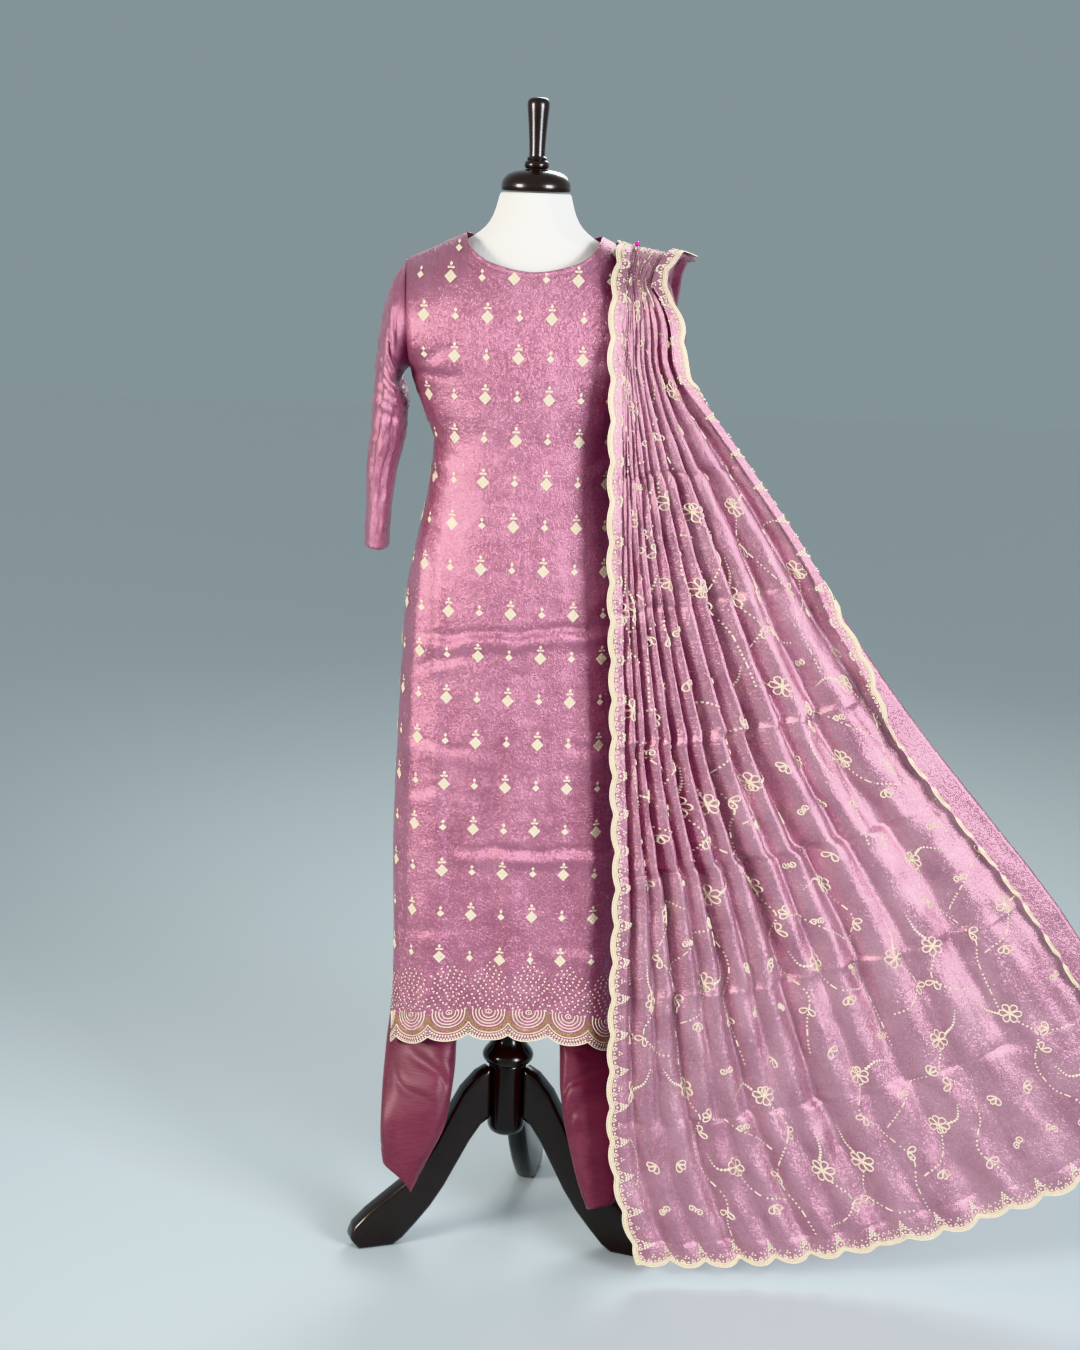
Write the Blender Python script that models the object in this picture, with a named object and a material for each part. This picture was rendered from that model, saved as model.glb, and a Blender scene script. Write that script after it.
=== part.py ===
"""Salwar kameez suit (tunic, trousers and dupatta) worn by a limbless dress form on a tripod stand.

Metres, +Z up, the suit's front faces -Y. Everything is worked out about the stand's pole, which is
at X = 0, Y = 0, and the whole object is moved at the end so that its box stands centred on the
origin. "Right" and "left" are the wearer's: the right sleeve is at -X.
"""

import math

import bmesh
import bpy
import numpy as np

for leftover in list(bpy.data.objects):
    bpy.data.objects.remove(leftover, do_unlink=True)

CLOTH_WALL = 0.0015
PLEATED_WALL = 0.0022
SEAM = 0.0003
EVERY = slice(None)


# ------------------------------------------------------------------ tables and curves


def table(names, rows):
    """Named columns from rows of numbers; the first column is the key and rises."""
    return dict(zip(names.split(), np.array(rows, float).T))


def smooth(at, keys, values):
    """Monotone cubic through (keys, values): it keeps to the table's highs and lows."""
    at = np.asarray(at, float)
    step = np.diff(keys)
    slope = np.diff(values) / step
    tangent = np.zeros(len(keys))
    product = slope[1:] * slope[:-1]
    total = slope[1:] + slope[:-1]
    tangent[1:-1] = np.where(product > 0, 2 * product / np.where(product > 0, total, 1), 0)
    tangent[0], tangent[-1] = slope[0], slope[-1]
    span = np.clip(np.searchsorted(keys, at) - 1, 0, len(step) - 1)
    u = np.clip((at - keys[span]) / step[span], 0, 1)
    bend = step[span] * (u * (1 - u) ** 2 * tangent[span] - u**2 * (1 - u) * tangent[span + 1])
    return values[span] + (values[span + 1] - values[span]) * u * u * (3 - 2 * u) + bend


def column(data, name, at):
    """A table's column read at any key, or at an array of keys."""
    keys = next(iter(data.values()))
    return smooth(at, keys, data[name])


# ------------------------------------------------------------------ materials and solids


def material(name, colour, roughness, metallic=0.0):
    """A Principled material from an sRGB hex colour."""
    channels = [int(colour[i : i + 2], 16) / 255 for i in (1, 3, 5)]
    linear = [c / 12.92 if c <= 0.04045 else ((c + 0.055) / 1.055) ** 2.4 for c in channels]
    made = bpy.data.materials.new(name)
    made.use_nodes = True
    shader = made.node_tree.nodes["Principled BSDF"]
    shader.inputs["Base Color"].default_value = (*linear, 1)
    shader.inputs["Roughness"].default_value = roughness
    shader.inputs["Metallic"].default_value = metallic
    made.diffuse_color = (*linear, 1)
    return made


KAMEEZ_SILK = material("rose_tissue_silk", "#B56A8E", 0.42)
TROUSER_SILK = material("plum_raw_silk", "#8C4064", 0.55)
DUPATTA_SILK = material("rose_sheer_silk", "#BF84A3", 0.38)
FORM_JERSEY = material("white_form_jersey", "#F2EFEA", 0.8)
STAND_LACQUER = material("black_lacquered_wood", "#1A1513", 0.2)
CAP_WOOD = material("dark_turned_wood", "#2A2020", 0.2)
PIN_PLASTIC = material("magenta_pin_head", "#C2188F", 0.25)


def add_object(name, points, faces, surface, flat=False):
    """One named object from points and faces, its faces turned outward."""
    mesh = bpy.data.meshes.new(name)
    mesh.from_pydata([tuple(p) for p in points], [], faces)
    shape = bmesh.new()
    shape.from_mesh(mesh)
    bmesh.ops.recalc_face_normals(shape, faces=shape.faces)
    if shape.calc_volume(signed=True) < 0:
        bmesh.ops.reverse_faces(shape, faces=shape.faces)
    shape.to_mesh(mesh)
    shape.free()
    mesh.materials.append(surface)
    if not flat:
        mesh.shade_smooth()
        mesh.set_sharp_from_angle(angle=math.radians(40))
    made = bpy.data.objects.new(name, mesh)
    bpy.context.collection.objects.link(made)
    return made


def sheet_normals(points, quads):
    """Unit normals at a sheet's points, each the mean of those of the faces round it."""
    normals = np.zeros_like(points)
    for quad in quads:
        a, b, c, d = points[list(quad)]
        normals[list(quad)] += np.cross(c - a, d - b)
    return normals / np.linalg.norm(normals, axis=1)[:, None]


def cloth_wall(name, grid, surface, depth=None, wall=CLOTH_WALL, closed_from=None, flat_seams=()):
    """A closed wall of cloth whose outer face is a grid of points, indexed [row, column, xyz].

    depth: directions of the wall's thickness, one for each point; by default, the sheet's normals.
    closed_from: the row from which the last column joins the first, as a tube does.
    flat_seams: (rows, columns, axis) edges whose rim is level along that axis.
    """
    rows, columns = grid.shape[:2]
    outer = grid.reshape(-1, 3)
    index = np.arange(rows * columns).reshape(rows, columns)
    last = columns - 1 if closed_from is None else columns
    quads = []
    for row in range(rows - 1):
        for start in range(last):
            if start == columns - 1 and row < closed_from:
                continue
            end = (start + 1) % columns
            below = index[row + 1]
            quads.append((index[row, start], index[row, end], below[end], below[start]))
    if depth is None:
        inward = -sheet_normals(outer, quads)
    else:
        inward = depth.reshape(-1, 3)
    inner = outer + inward * wall
    for row, place, axis in flat_seams:
        on_edge = index[row, place]
        inner[on_edge, axis] = outer[on_edge, axis]
    edges = [edge for quad in quads for edge in zip(quad, quad[1:] + quad[:1])]
    shared = set(edges)
    count = len(outer)
    faces = list(quads)
    faces += [tuple(count + p for p in reversed(quad)) for quad in quads]
    faces += [(b, a, count + a, count + b) for a, b in edges if (b, a) not in shared]
    return add_object(name, np.vstack([outer, inner]), faces, surface)


def loft(name, rings, surface, flat=False):
    """A closed solid through rings of equally many points, with a flat cap at each end."""
    rows, columns = rings.shape[:2]
    faces = [
        (r * columns + c, r * columns + (c + 1) % columns,
         (r + 1) * columns + (c + 1) % columns, (r + 1) * columns + c)
        for r in range(rows - 1) for c in range(columns)
    ]
    faces.append(tuple(range(columns)))
    faces.append(tuple(range(rows * columns - 1, (rows - 1) * columns - 1, -1)))
    return add_object(name, rings.reshape(-1, 3), faces, surface, flat)


def turned(name, profile, surface, steps=32):
    """A solid of revolution about the pole, from (radius, height) rows."""
    angles = np.linspace(0, 2 * math.pi, steps, endpoint=False)
    rings = np.array([[(r * math.cos(a), r * math.sin(a), z) for a in angles] for r, z in profile])
    return loft(name, rings, surface)


def oval(half_width, front, back, power, count):
    """A ring of (x, y) round a rounded oval, from its right side round by the front."""
    angles = np.linspace(0, 2 * math.pi, count, endpoint=False)
    across = -np.sign(np.cos(angles)) * np.abs(np.cos(angles)) ** (2 / power) * half_width
    deep = np.abs(np.sin(angles)) ** (2 / power)
    return across, np.where(np.sin(angles) > 0, -front * deep, back * deep)


# ------------------------------------------------------------------ dress form and stand

TORSO = table("height half_width front back power", [
    (0.868, 0.118, 0.062, 0.070, 2.2),
    (0.876, 0.138, 0.078, 0.084, 2.3),
    (0.900, 0.150, 0.090, 0.094, 2.4),
    (0.980, 0.153, 0.096, 0.100, 2.4),
    (1.050, 0.141, 0.094, 0.088, 2.4),
    (1.120, 0.127, 0.093, 0.076, 2.3),
    (1.186, 0.119, 0.096, 0.074, 2.3),
    (1.240, 0.137, 0.104, 0.080, 2.4),
    (1.290, 0.151, 0.107, 0.085, 2.5),
    (1.350, 0.155, 0.100, 0.086, 2.5),
    (1.400, 0.154, 0.084, 0.078, 2.5),
    (1.425, 0.145, 0.070, 0.068, 2.4),
    (1.440, 0.128, 0.064, 0.062, 2.3),
    (1.454, 0.104, 0.060, 0.058, 2.2),
    (1.466, 0.082, 0.057, 0.055, 2.1),
    (1.478, 0.066, 0.054, 0.053, 2.0),
    (1.494, 0.056, 0.051, 0.050, 2.0),
    (1.512, 0.051, 0.049, 0.048, 2.0),
    (1.526, 0.048, 0.047, 0.047, 2.0),
])
TORSO_SIDES = 36

NECK_CAP_PROFILE = [
    (0.0440, 1.5264), (0.0470, 1.5285), (0.0475, 1.5345), (0.0460, 1.5405), (0.0415, 1.5465),
    (0.0340, 1.5515), (0.0240, 1.5545), (0.0150, 1.5560),
]
HANDLE_PROFILE = [
    (0.0120, 1.5563), (0.0155, 1.5578), (0.0168, 1.5610), (0.0160, 1.5655), (0.0125, 1.5690),
    (0.0105, 1.5730), (0.0112, 1.5850), (0.0128, 1.6100), (0.0147, 1.6320), (0.0152, 1.6410),
    (0.0135, 1.6465), (0.0090, 1.6492), (0.0040, 1.6500),
]
POLE_RADIUS = 0.0175
POLE_TOP = 0.8677
HUB_PROFILE = [
    (0.0120, 0.1580), (0.0210, 0.1595), (0.0268, 0.1660), (0.0280, 0.1740), (0.0280, 0.2680),
    (0.0330, 0.2725), (0.0375, 0.2775), (0.0380, 0.2825), (0.0345, 0.2900), (0.0280, 0.2975),
    (0.0235, 0.3060), (0.0210, 0.3150), (0.0190, 0.3200),
]

# Each leg is a curved board: its upper and lower edges, reach from the pole and height.
LEG = table("along upper_reach upper_height lower_reach lower_height", [
    (0, 0.0290, 0.2660, 0.0290, 0.1860),
    (1, 0.0480, 0.2560, 0.0430, 0.1760),
    (2, 0.0700, 0.2330, 0.0600, 0.1520),
    (3, 0.0900, 0.1980, 0.0790, 0.1180),
    (4, 0.1090, 0.1600, 0.0980, 0.0840),
    (5, 0.1320, 0.1250, 0.1180, 0.0550),
    (6, 0.1590, 0.0950, 0.1400, 0.0300),
    (7, 0.1880, 0.0740, 0.1600, 0.0090),
    (8, 0.2120, 0.0560, 0.1740, 0.0000),
    (9, 0.2320, 0.0370, 0.2000, 0.0000),
    (10, 0.2400, 0.0180, 0.2260, 0.0000),
])
LEG_THICKNESS = 0.030
LEG_ROUNDING = 0.006
LEG_ANGLES = {"stand_leg_right": 199, "stand_leg_left": 341, "stand_leg_rear": 79}


def build_form():
    rings = []
    for row in zip(*TORSO.values()):
        height, half_width, front, back, power = row
        x, y = oval(half_width, front, back, power, TORSO_SIDES)
        rings.append(np.column_stack([x, y, np.full(TORSO_SIDES, height)]))
    loft("form_torso", np.array(rings), FORM_JERSEY)
    turned("neck_cap", NECK_CAP_PROFILE, CAP_WOOD)
    turned("neck_cap_handle", HANDLE_PROFILE, CAP_WOOD, steps=24)
    turned("stand_pole", [(POLE_RADIUS, 0.3203), (POLE_RADIUS, POLE_TOP)], STAND_LACQUER, steps=24)
    turned("stand_hub", HUB_PROFILE, STAND_LACQUER)


def leg_section(upper, lower):
    """A rounded rectangle between a leg's upper and lower edge points, as (reach, across, height)."""
    half = LEG_THICKNESS / 2
    corner = LEG_ROUNDING
    length = np.linalg.norm(upper - lower)
    up = (upper - lower) / length
    outline = []
    for across, along in ((half, 0), (half, length), (-half, length), (-half, 0)):
        inward_across = across - math.copysign(corner, across)
        inward_along = along + (corner if along == 0 else -corner)
        ends = [(across, inward_along), (inward_across, along)]
        outline += ends if (across > 0) == (along > 0) else ends[::-1]
    return [(*(lower + up * along), across) for across, along in outline]


def build_legs():
    for name, degrees in LEG_ANGLES.items():
        turn = math.radians(degrees)
        outward = np.array([math.cos(turn), math.sin(turn)])
        sideways = np.array([-outward[1], outward[0]])
        rings = []
        for _, upper_reach, upper_height, lower_reach, lower_height in zip(*LEG.values()):
            upper = np.array([upper_reach, upper_height])
            lower = np.array([lower_reach, lower_height])
            ring = []
            for reach, height, across in leg_section(upper, lower):
                x, y = outward * reach + sideways * across
                ring.append((x, y, max(height, 0.0)))
            rings.append(ring)
        loft(name, np.array(rings), STAND_LACQUER)


# ------------------------------------------------------------------ kameez body

BODY = table("height half_width front back", [
    (0.300, 0.170, 0.125, 0.118),
    (0.450, 0.170, 0.122, 0.118),
    (0.630, 0.174, 0.120, 0.119),
    (0.780, 0.171, 0.119, 0.120),
    (0.900, 0.167, 0.118, 0.120),
    (0.980, 0.163, 0.117, 0.118),
    (1.050, 0.150, 0.114, 0.108),
    (1.120, 0.136, 0.112, 0.096),
    (1.186, 0.129, 0.112, 0.092),
    (1.240, 0.148, 0.116, 0.096),
    (1.290, 0.164, 0.118, 0.100),
    (1.350, 0.166, 0.114, 0.102),
    (1.400, 0.170, 0.108, 0.101),
    (1.435, 0.173, 0.104, 0.100),
    (1.490, 0.174, 0.102, 0.099),
])
BODY_POWER = 3.0
NECK_POINT = (0.090, 1.471)
SHOULDER_TIP = (0.173, 1.432)
FRONT_NECK_DROP = 0.048
BACK_NECK_DROP = 0.014
UNDERARM = 1.288
ARMHOLE_OPENING = 0.060
SLIT_TOP = 0.900
SLIT_SPREAD = 0.060
SIDE_HEM = 0.318
HEM_RISE = 0.033
SHOULDER_ROUND = 0.11
NECK_ROUND_EXTRA = 0.09
NECK_RIDGE_RISE = 0.060
# The height at which a column of a panel's grid is measured to place its top on the shoulder.
TOP_MEASURED_AT = 1.44
# Rows of a panel's grid crowd toward its shaped top edge by this power.
ROW_CROWDING = 1.7


def ridge(x):
    """Height of the shoulder line over X; between the neck points it rises into the open neck."""
    neck_x, neck_z = NECK_POINT
    tip_x, tip_z = SHOULDER_TIP
    x = np.abs(x)
    slope = neck_z - (x - neck_x) * (neck_z - tip_z) / (tip_x - neck_x)
    inside = np.sqrt(np.clip(1 - (x / neck_x) ** 2, 0, 1))
    return np.where(x > neck_x, slope, neck_z + NECK_RIDGE_RISE * inside), inside


def side_opening(height):
    """How far the panel's side edge stands from the mid plane: at the armhole, seam and slit."""
    middle = (SHOULDER_TIP[1] + UNDERARM) / 2
    reach = (SHOULDER_TIP[1] - UNDERARM) / 2
    arm = ARMHOLE_OPENING * np.sqrt(np.clip(1 - ((height - middle) / reach) ** 2, 0, 1))
    down = np.clip((SLIT_TOP - height) / (SLIT_TOP - SIDE_HEM), 0, 1)
    slit = SLIT_SPREAD * down**1.5
    return np.maximum(np.maximum(arm, slit), SEAM / 2)


def body_section(depth_column, height, shares):
    """(x, y) of a panel's outer face at one height, for shares of its width along the cloth."""
    half_width = column(BODY, "half_width", height)
    depth = column(BODY, depth_column, height)
    edge = side_opening(height)
    angle = np.linspace(-math.pi / 2, math.pi / 2, 121)
    x = np.sign(np.sin(angle)) * np.abs(np.sin(angle)) ** (2 / BODY_POWER) * half_width
    y = edge + (depth - edge) * np.abs(np.cos(angle)) ** (2 / BODY_POWER)
    length = np.concatenate([[0], np.cumsum(np.hypot(np.diff(x), np.diff(y)))])
    at = np.asarray(shares) * length[-1]
    return np.interp(at, length, x), np.interp(at, length, y)


def panel_top(x, neck_drop):
    """Height of a panel's top edge over X: the shoulder seam, or the scooped neckline."""
    neck_x, neck_z = NECK_POINT
    over_shoulder = ridge(x)[0]
    scoop = neck_z - neck_drop * np.sqrt(np.clip(1 - (x / neck_x) ** 2, 0, 1))
    return np.where(np.abs(x) > neck_x, over_shoulder, scoop)


def body_panel(depth_column, neck_drop, toward, columns, rows):
    """Grid of one body panel's outer face, from the top edge down to the hem."""
    shares = np.linspace(0, 1, columns)
    levels = np.arange(SIDE_HEM - CLOTH_WALL, NECK_POINT[1] + CLOTH_WALL, 0.0065)
    sections = [body_section(depth_column, level, shares) for level in levels]
    across = np.array([x for x, _ in sections])
    deep = np.array([y for _, y in sections])
    down = np.linspace(0, 1, rows) ** ROW_CROWDING
    grid = np.zeros((rows, columns, 3))
    for place in range(columns):
        x = np.interp(TOP_MEASURED_AT, levels, across[:, place])
        top = float(panel_top(x, neck_drop))
        hem = SIDE_HEM + HEM_RISE * (1 - (2 * shares[place] - 1) ** 2)
        height = top + (hem - top) * down
        x = np.interp(height, levels, across[:, place])
        y = np.interp(height, levels, deep[:, place])
        top_line, inside = ridge(x)
        round_off = SHOULDER_ROUND + NECK_ROUND_EXTRA * inside
        fall = np.clip((top_line - height) / round_off, 0, 1)
        y = np.maximum(y * np.sqrt(1 - (1 - fall) ** 2), SEAM / 2)
        grid[:, place] = np.column_stack([x, toward * y, height])
    return grid


def build_body():
    for name, depth_column, drop, toward in (
        ("kameez_front", "front", FRONT_NECK_DROP, -1),
        ("kameez_back", "back", BACK_NECK_DROP, 1),
    ):
        grid = body_panel(depth_column, drop, toward, columns=25, rows=14)
        if toward < 0:
            grid = grid[:, ::-1]
        cloth_wall(name, grid, KAMEEZ_SILK, flat_seams=[(0, EVERY, 1), (EVERY, 0, 1), (EVERY, -1, 1)])


# ------------------------------------------------------------------ sleeves

# Each ring of a sleeve is a leaning oval between its outer and its inner (body side) point.
SLEEVE = table("along outer_x outer_z inner_x inner_z half_depth", [
    (0, 0.1735, 1.4320, 0.1645, 1.2880, 0.060),
    (1, 0.1870, 1.4020, 0.1740, 1.2790, 0.067),
    (2, 0.1985, 1.3660, 0.1790, 1.2660, 0.073),
    (3, 0.2070, 1.3270, 0.1730, 1.2520, 0.076),
    (4, 0.2130, 1.2760, 0.1670, 1.2350, 0.077),
    (5, 0.2180, 1.2100, 0.1690, 1.1990, 0.074),
    (6, 0.2230, 1.1400, 0.1820, 1.1400, 0.068),
    (7, 0.2210, 1.0900, 0.1880, 1.0880, 0.063),
    (8, 0.2240, 1.0420, 0.1900, 1.0360, 0.060),
])
SLEEVE_POWER = 0.9
SLEEVE_GAP = 0.0008
SLEEVE_COLUMNS = 16
SLEEVE_ROWS = 9


def armhole_ring(count):
    """The armhole's edge, a little outside the body panels, from its top round by the front."""
    angle = np.linspace(0, 2 * math.pi, count, endpoint=False)
    middle = (SHOULDER_TIP[1] + UNDERARM) / 2
    reach = (SHOULDER_TIP[1] - UNDERARM) / 2
    height = middle + reach * np.cos(angle)
    x = column(BODY, "half_width", height) + SLEEVE_GAP
    toward = -np.sign(np.round(np.sin(angle), 6))
    return np.column_stack([x, toward * side_opening(height), height])


def sleeve_grid(columns, rows):
    """Grid of the left sleeve's outer face, from the armhole down to the cuff."""
    angle = np.linspace(0, 2 * math.pi, columns, endpoint=False)
    grid = np.zeros((rows, columns, 3))
    grid[0] = armhole_ring(columns)
    for row, along in list(enumerate(np.linspace(0, SLEEVE["along"][-1], rows)))[1:]:
        outer = np.array([column(SLEEVE, "outer_x", along), column(SLEEVE, "outer_z", along)])
        inner = np.array([column(SLEEVE, "inner_x", along), column(SLEEVE, "inner_z", along)])
        middle, reach = (outer + inner) / 2, (outer - inner) / 2
        deep = column(SLEEVE, "half_depth", along)
        wave = np.sign(np.cos(angle)) * np.abs(np.cos(angle)) ** SLEEVE_POWER
        xz = middle + np.outer(wave, reach)
        y = -np.sign(np.sin(angle)) * np.abs(np.sin(angle)) ** SLEEVE_POWER * deep
        grid[row] = np.column_stack([xz[:, 0], y, xz[:, 1]])
    return grid


def build_sleeves():
    grid = sleeve_grid(SLEEVE_COLUMNS, SLEEVE_ROWS)
    cloth_wall("sleeve_left", grid, KAMEEZ_SILK, closed_from=0, flat_seams=[(0, EVERY, 0)])
    mirrored = grid[:, ::-1] * np.array([-1, 1, 1])
    cloth_wall("sleeve_right", mirrored, KAMEEZ_SILK, closed_from=0, flat_seams=[(0, EVERY, 0)])


# ------------------------------------------------------------------ trousers

# Heights, the inner and outer edges' distance from the mid plane, how far forward the leg's middle
# lies, half its depth, and how far its outer edge bends back round the body.
TROUSERS = table("height inner outer forward half_depth bend", [
    (0.080, 0.1250, 0.1560, 0.0990, 0.026, 0.000),
    (0.120, 0.1100, 0.1680, 0.0990, 0.030, 0.000),
    (0.160, 0.0990, 0.1770, 0.0985, 0.032, 0.000),
    (0.215, 0.0850, 0.1800, 0.0960, 0.034, 0.005),
    (0.270, 0.0770, 0.1800, 0.0860, 0.033, 0.036),
    (0.330, 0.0740, 0.1765, 0.0690, 0.030, 0.064),
    (0.450, 0.0580, 0.1660, 0.0660, 0.036, 0.044),
    (0.600, 0.0280, 0.1540, 0.0720, 0.034, 0.026),
    (0.720, 0.0004, 0.1480, 0.0800, 0.028, 0.022),
    (0.800, 0.0003, 0.1420, 0.0920, 0.015, 0.024),
    (0.900, 0.0003, 0.1340, 0.1055, 0.0045, 0.030),
    (1.020, 0.0003, 0.1280, 0.1045, 0.0038, 0.030),
    (1.060, 0.0003, 0.1230, 0.1025, 0.0038, 0.028),
])
CROTCH = 0.720
WAIST_SEAM = 1.020
WAIST_TOP = 1.055
TROUSER_POWER = 2.4
LEG_COLUMNS = 16
FIRST_TUBE_ROW = CROTCH - 0.020
# How fast a hem's slant fades up the leg, and the heights between which its inner edge swings out.
HEM_FADE = 3
SWING_LOW, SWING_HIGH = 0.100, 0.215
# Each leg's side, its hem's height at the tip, the hem's rise from there to the outer edge, and how
# far the leg's inner edge swings out at the hem.
HEMS = {"trouser_leg_right": (-1, 0.104, 0.046, 0.018), "trouser_leg_left": (1, 0.088, 0.012, 0.0)}


def trouser_ring(height, share, swing=0.0):
    """A point of a trouser leg's outer face: share 0 and 1 are its inner seam, 0.5 its outer edge."""
    inner, outer = column(TROUSERS, "inner", height), column(TROUSERS, "outer", height)
    inner = inner + swing * np.clip((SWING_HIGH - height) / (SWING_HIGH - SWING_LOW), 0, 1) ** 1.5
    closed = height < CROTCH
    half_turn = math.pi if closed else math.pi / 2
    angle = half_turn * (1 - 2 * share)
    middle, reach = ((inner + outer) / 2, (outer - inner) / 2) if closed else (SEAM / 2, outer)
    wave = np.sign(np.cos(angle)) * np.abs(np.cos(angle)) ** (2 / TROUSER_POWER)
    x = middle + reach * wave
    deep = np.sign(np.sin(angle)) * np.abs(np.sin(angle)) ** (2 / TROUSER_POWER)
    y = -column(TROUSERS, "forward", height) - deep * column(TROUSERS, "half_depth", height)
    return x, y + column(TROUSERS, "bend", height) * (abs(x) / outer) ** 3


def trouser_leg(tip, rise, swing, columns, upper_rows, lower_rows):
    """Grid of the left leg's outer face: open along the centre seam down to the crotch, then a tube."""
    heights = np.concatenate([
        np.linspace(WAIST_SEAM - SEAM, CROTCH, upper_rows),
        np.linspace(FIRST_TUBE_ROW, tip, lower_rows),
    ])
    grid = np.zeros((len(heights), columns, 3))
    for row, height in enumerate(heights):
        below = np.clip((CROTCH - height) / (CROTCH - tip), 0, 1)
        count = columns if height >= CROTCH else columns + 1
        for place, share in enumerate(np.linspace(0, 1, count)[:columns]):
            lift = rise * (1 - abs(2 * share - 1)) * below**HEM_FADE
            level = height + lift
            x, y = trouser_ring(level, share, swing)
            grid[row, place] = (x, y, level)
    return grid


def build_trousers():
    upper_rows, lower_rows = 4, 8
    for name, (side, tip, rise, swing) in HEMS.items():
        grid = trouser_leg(tip, rise, swing, LEG_COLUMNS, upper_rows, lower_rows)
        if side < 0:
            grid = grid[:, ::-1] * np.array([-1, 1, 1])
        open_rows = slice(0, upper_rows)
        cloth_wall(name, grid, TROUSER_SILK, closed_from=upper_rows - 1,
                   flat_seams=[(open_rows, 0, 0), (open_rows, -1, 0)])
    shares = np.linspace(0, 1, LEG_COLUMNS)
    band = []
    for height in (WAIST_SEAM, WAIST_TOP):
        half = [trouser_ring(height, share) for share in shares]
        ring = [(x, y, height) for x, y in half]
        ring += [(-x, y, height) for x, y in half[::-1]]
        band.append(ring)
    cloth_wall("trouser_waistband", np.array(band), TROUSER_SILK, closed_from=0)


# ------------------------------------------------------------------ dupatta

DUPATTA_WIDTH = 0.88
# The front stretch's two edges, by the run of cloth from the top of the shoulder.
FRONT_EDGES = table("run lx ly lz rx ry rz sag", [
    (0.000, 0.112, 0.000, 1.466, 0.222, 0.000, 1.441, 0.000),
    (0.036, 0.111, -0.036, 1.461, 0.203, -0.030, 1.448, 0.000),
    (0.078, 0.107, -0.080, 1.441, 0.184, -0.064, 1.426, 0.000),
    (0.105, 0.104, -0.102, 1.421, 0.177, -0.084, 1.408, 0.000),
    (0.135, 0.102, -0.117, 1.395, 0.191, -0.097, 1.387, 0.000),
    (0.176, 0.101, -0.126, 1.355, 0.212, -0.103, 1.350, 0.000),
    (0.250, 0.104, -0.141, 1.282, 0.228, -0.108, 1.278, 0.001),
    (0.351, 0.107, -0.149, 1.181, 0.285, -0.112, 1.194, 0.002),
    (0.479, 0.111, -0.152, 1.053, 0.362, -0.116, 1.092, 0.003),
    (0.657, 0.121, -0.152, 0.876, 0.461, -0.122, 0.944, 0.010),
    (0.803, 0.128, -0.152, 0.731, 0.550, -0.124, 0.828, 0.017),
    (0.958, 0.138, -0.152, 0.577, 0.651, -0.124, 0.710, 0.025),
    (1.117, 0.139, -0.152, 0.418, 0.754, -0.122, 0.589, 0.034),
    (1.304, 0.144, -0.152, 0.232, 0.862, -0.117, 0.437, 0.050),
    (1.367, 0.152, -0.152, 0.170, 0.897, -0.115, 0.384, 0.052),
    (1.438, 0.169, -0.152, 0.101, 0.936, -0.112, 0.325, 0.066),
    (1.521, 0.196, -0.152, 0.023, 0.982, -0.110, 0.253, 0.076),
])
BACK_EDGES = table("run lx ly lz rx ry rz sag", [
    (0.000, 0.112, 0.000, 1.466, 0.222, 0.000, 1.441, 0.000),
    (0.040, 0.112, 0.040, 1.461, 0.214, 0.034, 1.438, 0.000),
    (0.085, 0.110, 0.080, 1.440, 0.207, 0.072, 1.414, 0.000),
    (0.135, 0.107, 0.112, 1.402, 0.205, 0.103, 1.375, 0.000),
    (0.200, 0.104, 0.128, 1.340, 0.209, 0.116, 1.312, 0.000),
    (0.400, 0.098, 0.136, 1.141, 0.230, 0.126, 1.113, 0.002),
    (0.700, 0.090, 0.142, 0.841, 0.262, 0.132, 0.816, 0.006),
    (1.000, 0.084, 0.144, 0.541, 0.290, 0.136, 0.518, 0.010),
])
FRONT_LENGTH = 1.521
BACK_LENGTH = 1.0
SHOULDER_RUN = 0.045
PLEATS = 12
PLEAT_MARGIN = 0.030
MOST_PLEAT_DEPTH = 0.020
# How much of the fan's width the pleats near the pinned edge give up, by the run of cloth.
CROWDING = table("run share", [(0.0, 0.0), (0.25, 0.3), (0.55, 0.5), (1.0, 0.3), (1.521, 0.1)])
NEAR_SHOULDER, SHOULDER_PLEATS = 0.35, 0.35
TURNED_EDGE_START = 0.84
TURNED_EDGE_WIDTH = 0.043
# The turned edge starts narrow, and comes to its full width over this run of cloth.
TURNED_START_SHARE, TURNED_GROWTH = 0.35, 0.185
# How far its fold line stands off the cloth, from the fold to the free edge.
TURNED_LIFT = np.array([0.0, 0.0051, 0.0060])


def edge_frame(edges, run):
    """A section's left and right ends, and its outward direction, at one run of cloth."""
    def place(at, side):
        return np.array([column(edges, side + axis, at) for axis in "xyz"], float)

    left, right = place(run, "l"), place(run, "r")
    step = 0.004
    low, high = max(run - step, 0), min(run + step, edges["run"][-1])
    down = place(high, "l") - place(low, "l") + place(high, "r") - place(low, "r")
    outward = np.cross(down, right - left) * (1 if edges is FRONT_EDGES else -1)
    return left, right, outward / np.linalg.norm(outward), down / np.linalg.norm(down)


def pleat_depth(share, spacing, run):
    """How far the cloth dips behind the section's line, for a share of its flat width."""
    inside = np.clip((share - PLEAT_MARGIN) / (1 - 2 * PLEAT_MARGIN), 0, 1)
    dip = (1 - np.cos(2 * math.pi * PLEATS * inside)) / 2
    flat_pleat = DUPATTA_WIDTH / PLEATS
    slack = np.clip(1 - (spacing / flat_pleat) ** 2, 0, 1)
    near_shoulder = SHOULDER_PLEATS + (1 - SHOULDER_PLEATS) * np.clip(run / NEAR_SHOULDER, 0, 1)
    depth = np.minimum(flat_pleat / 2 * np.sqrt(slack), spacing) * near_shoulder
    return dip * np.minimum(depth, MOST_PLEAT_DEPTH * near_shoulder)


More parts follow.
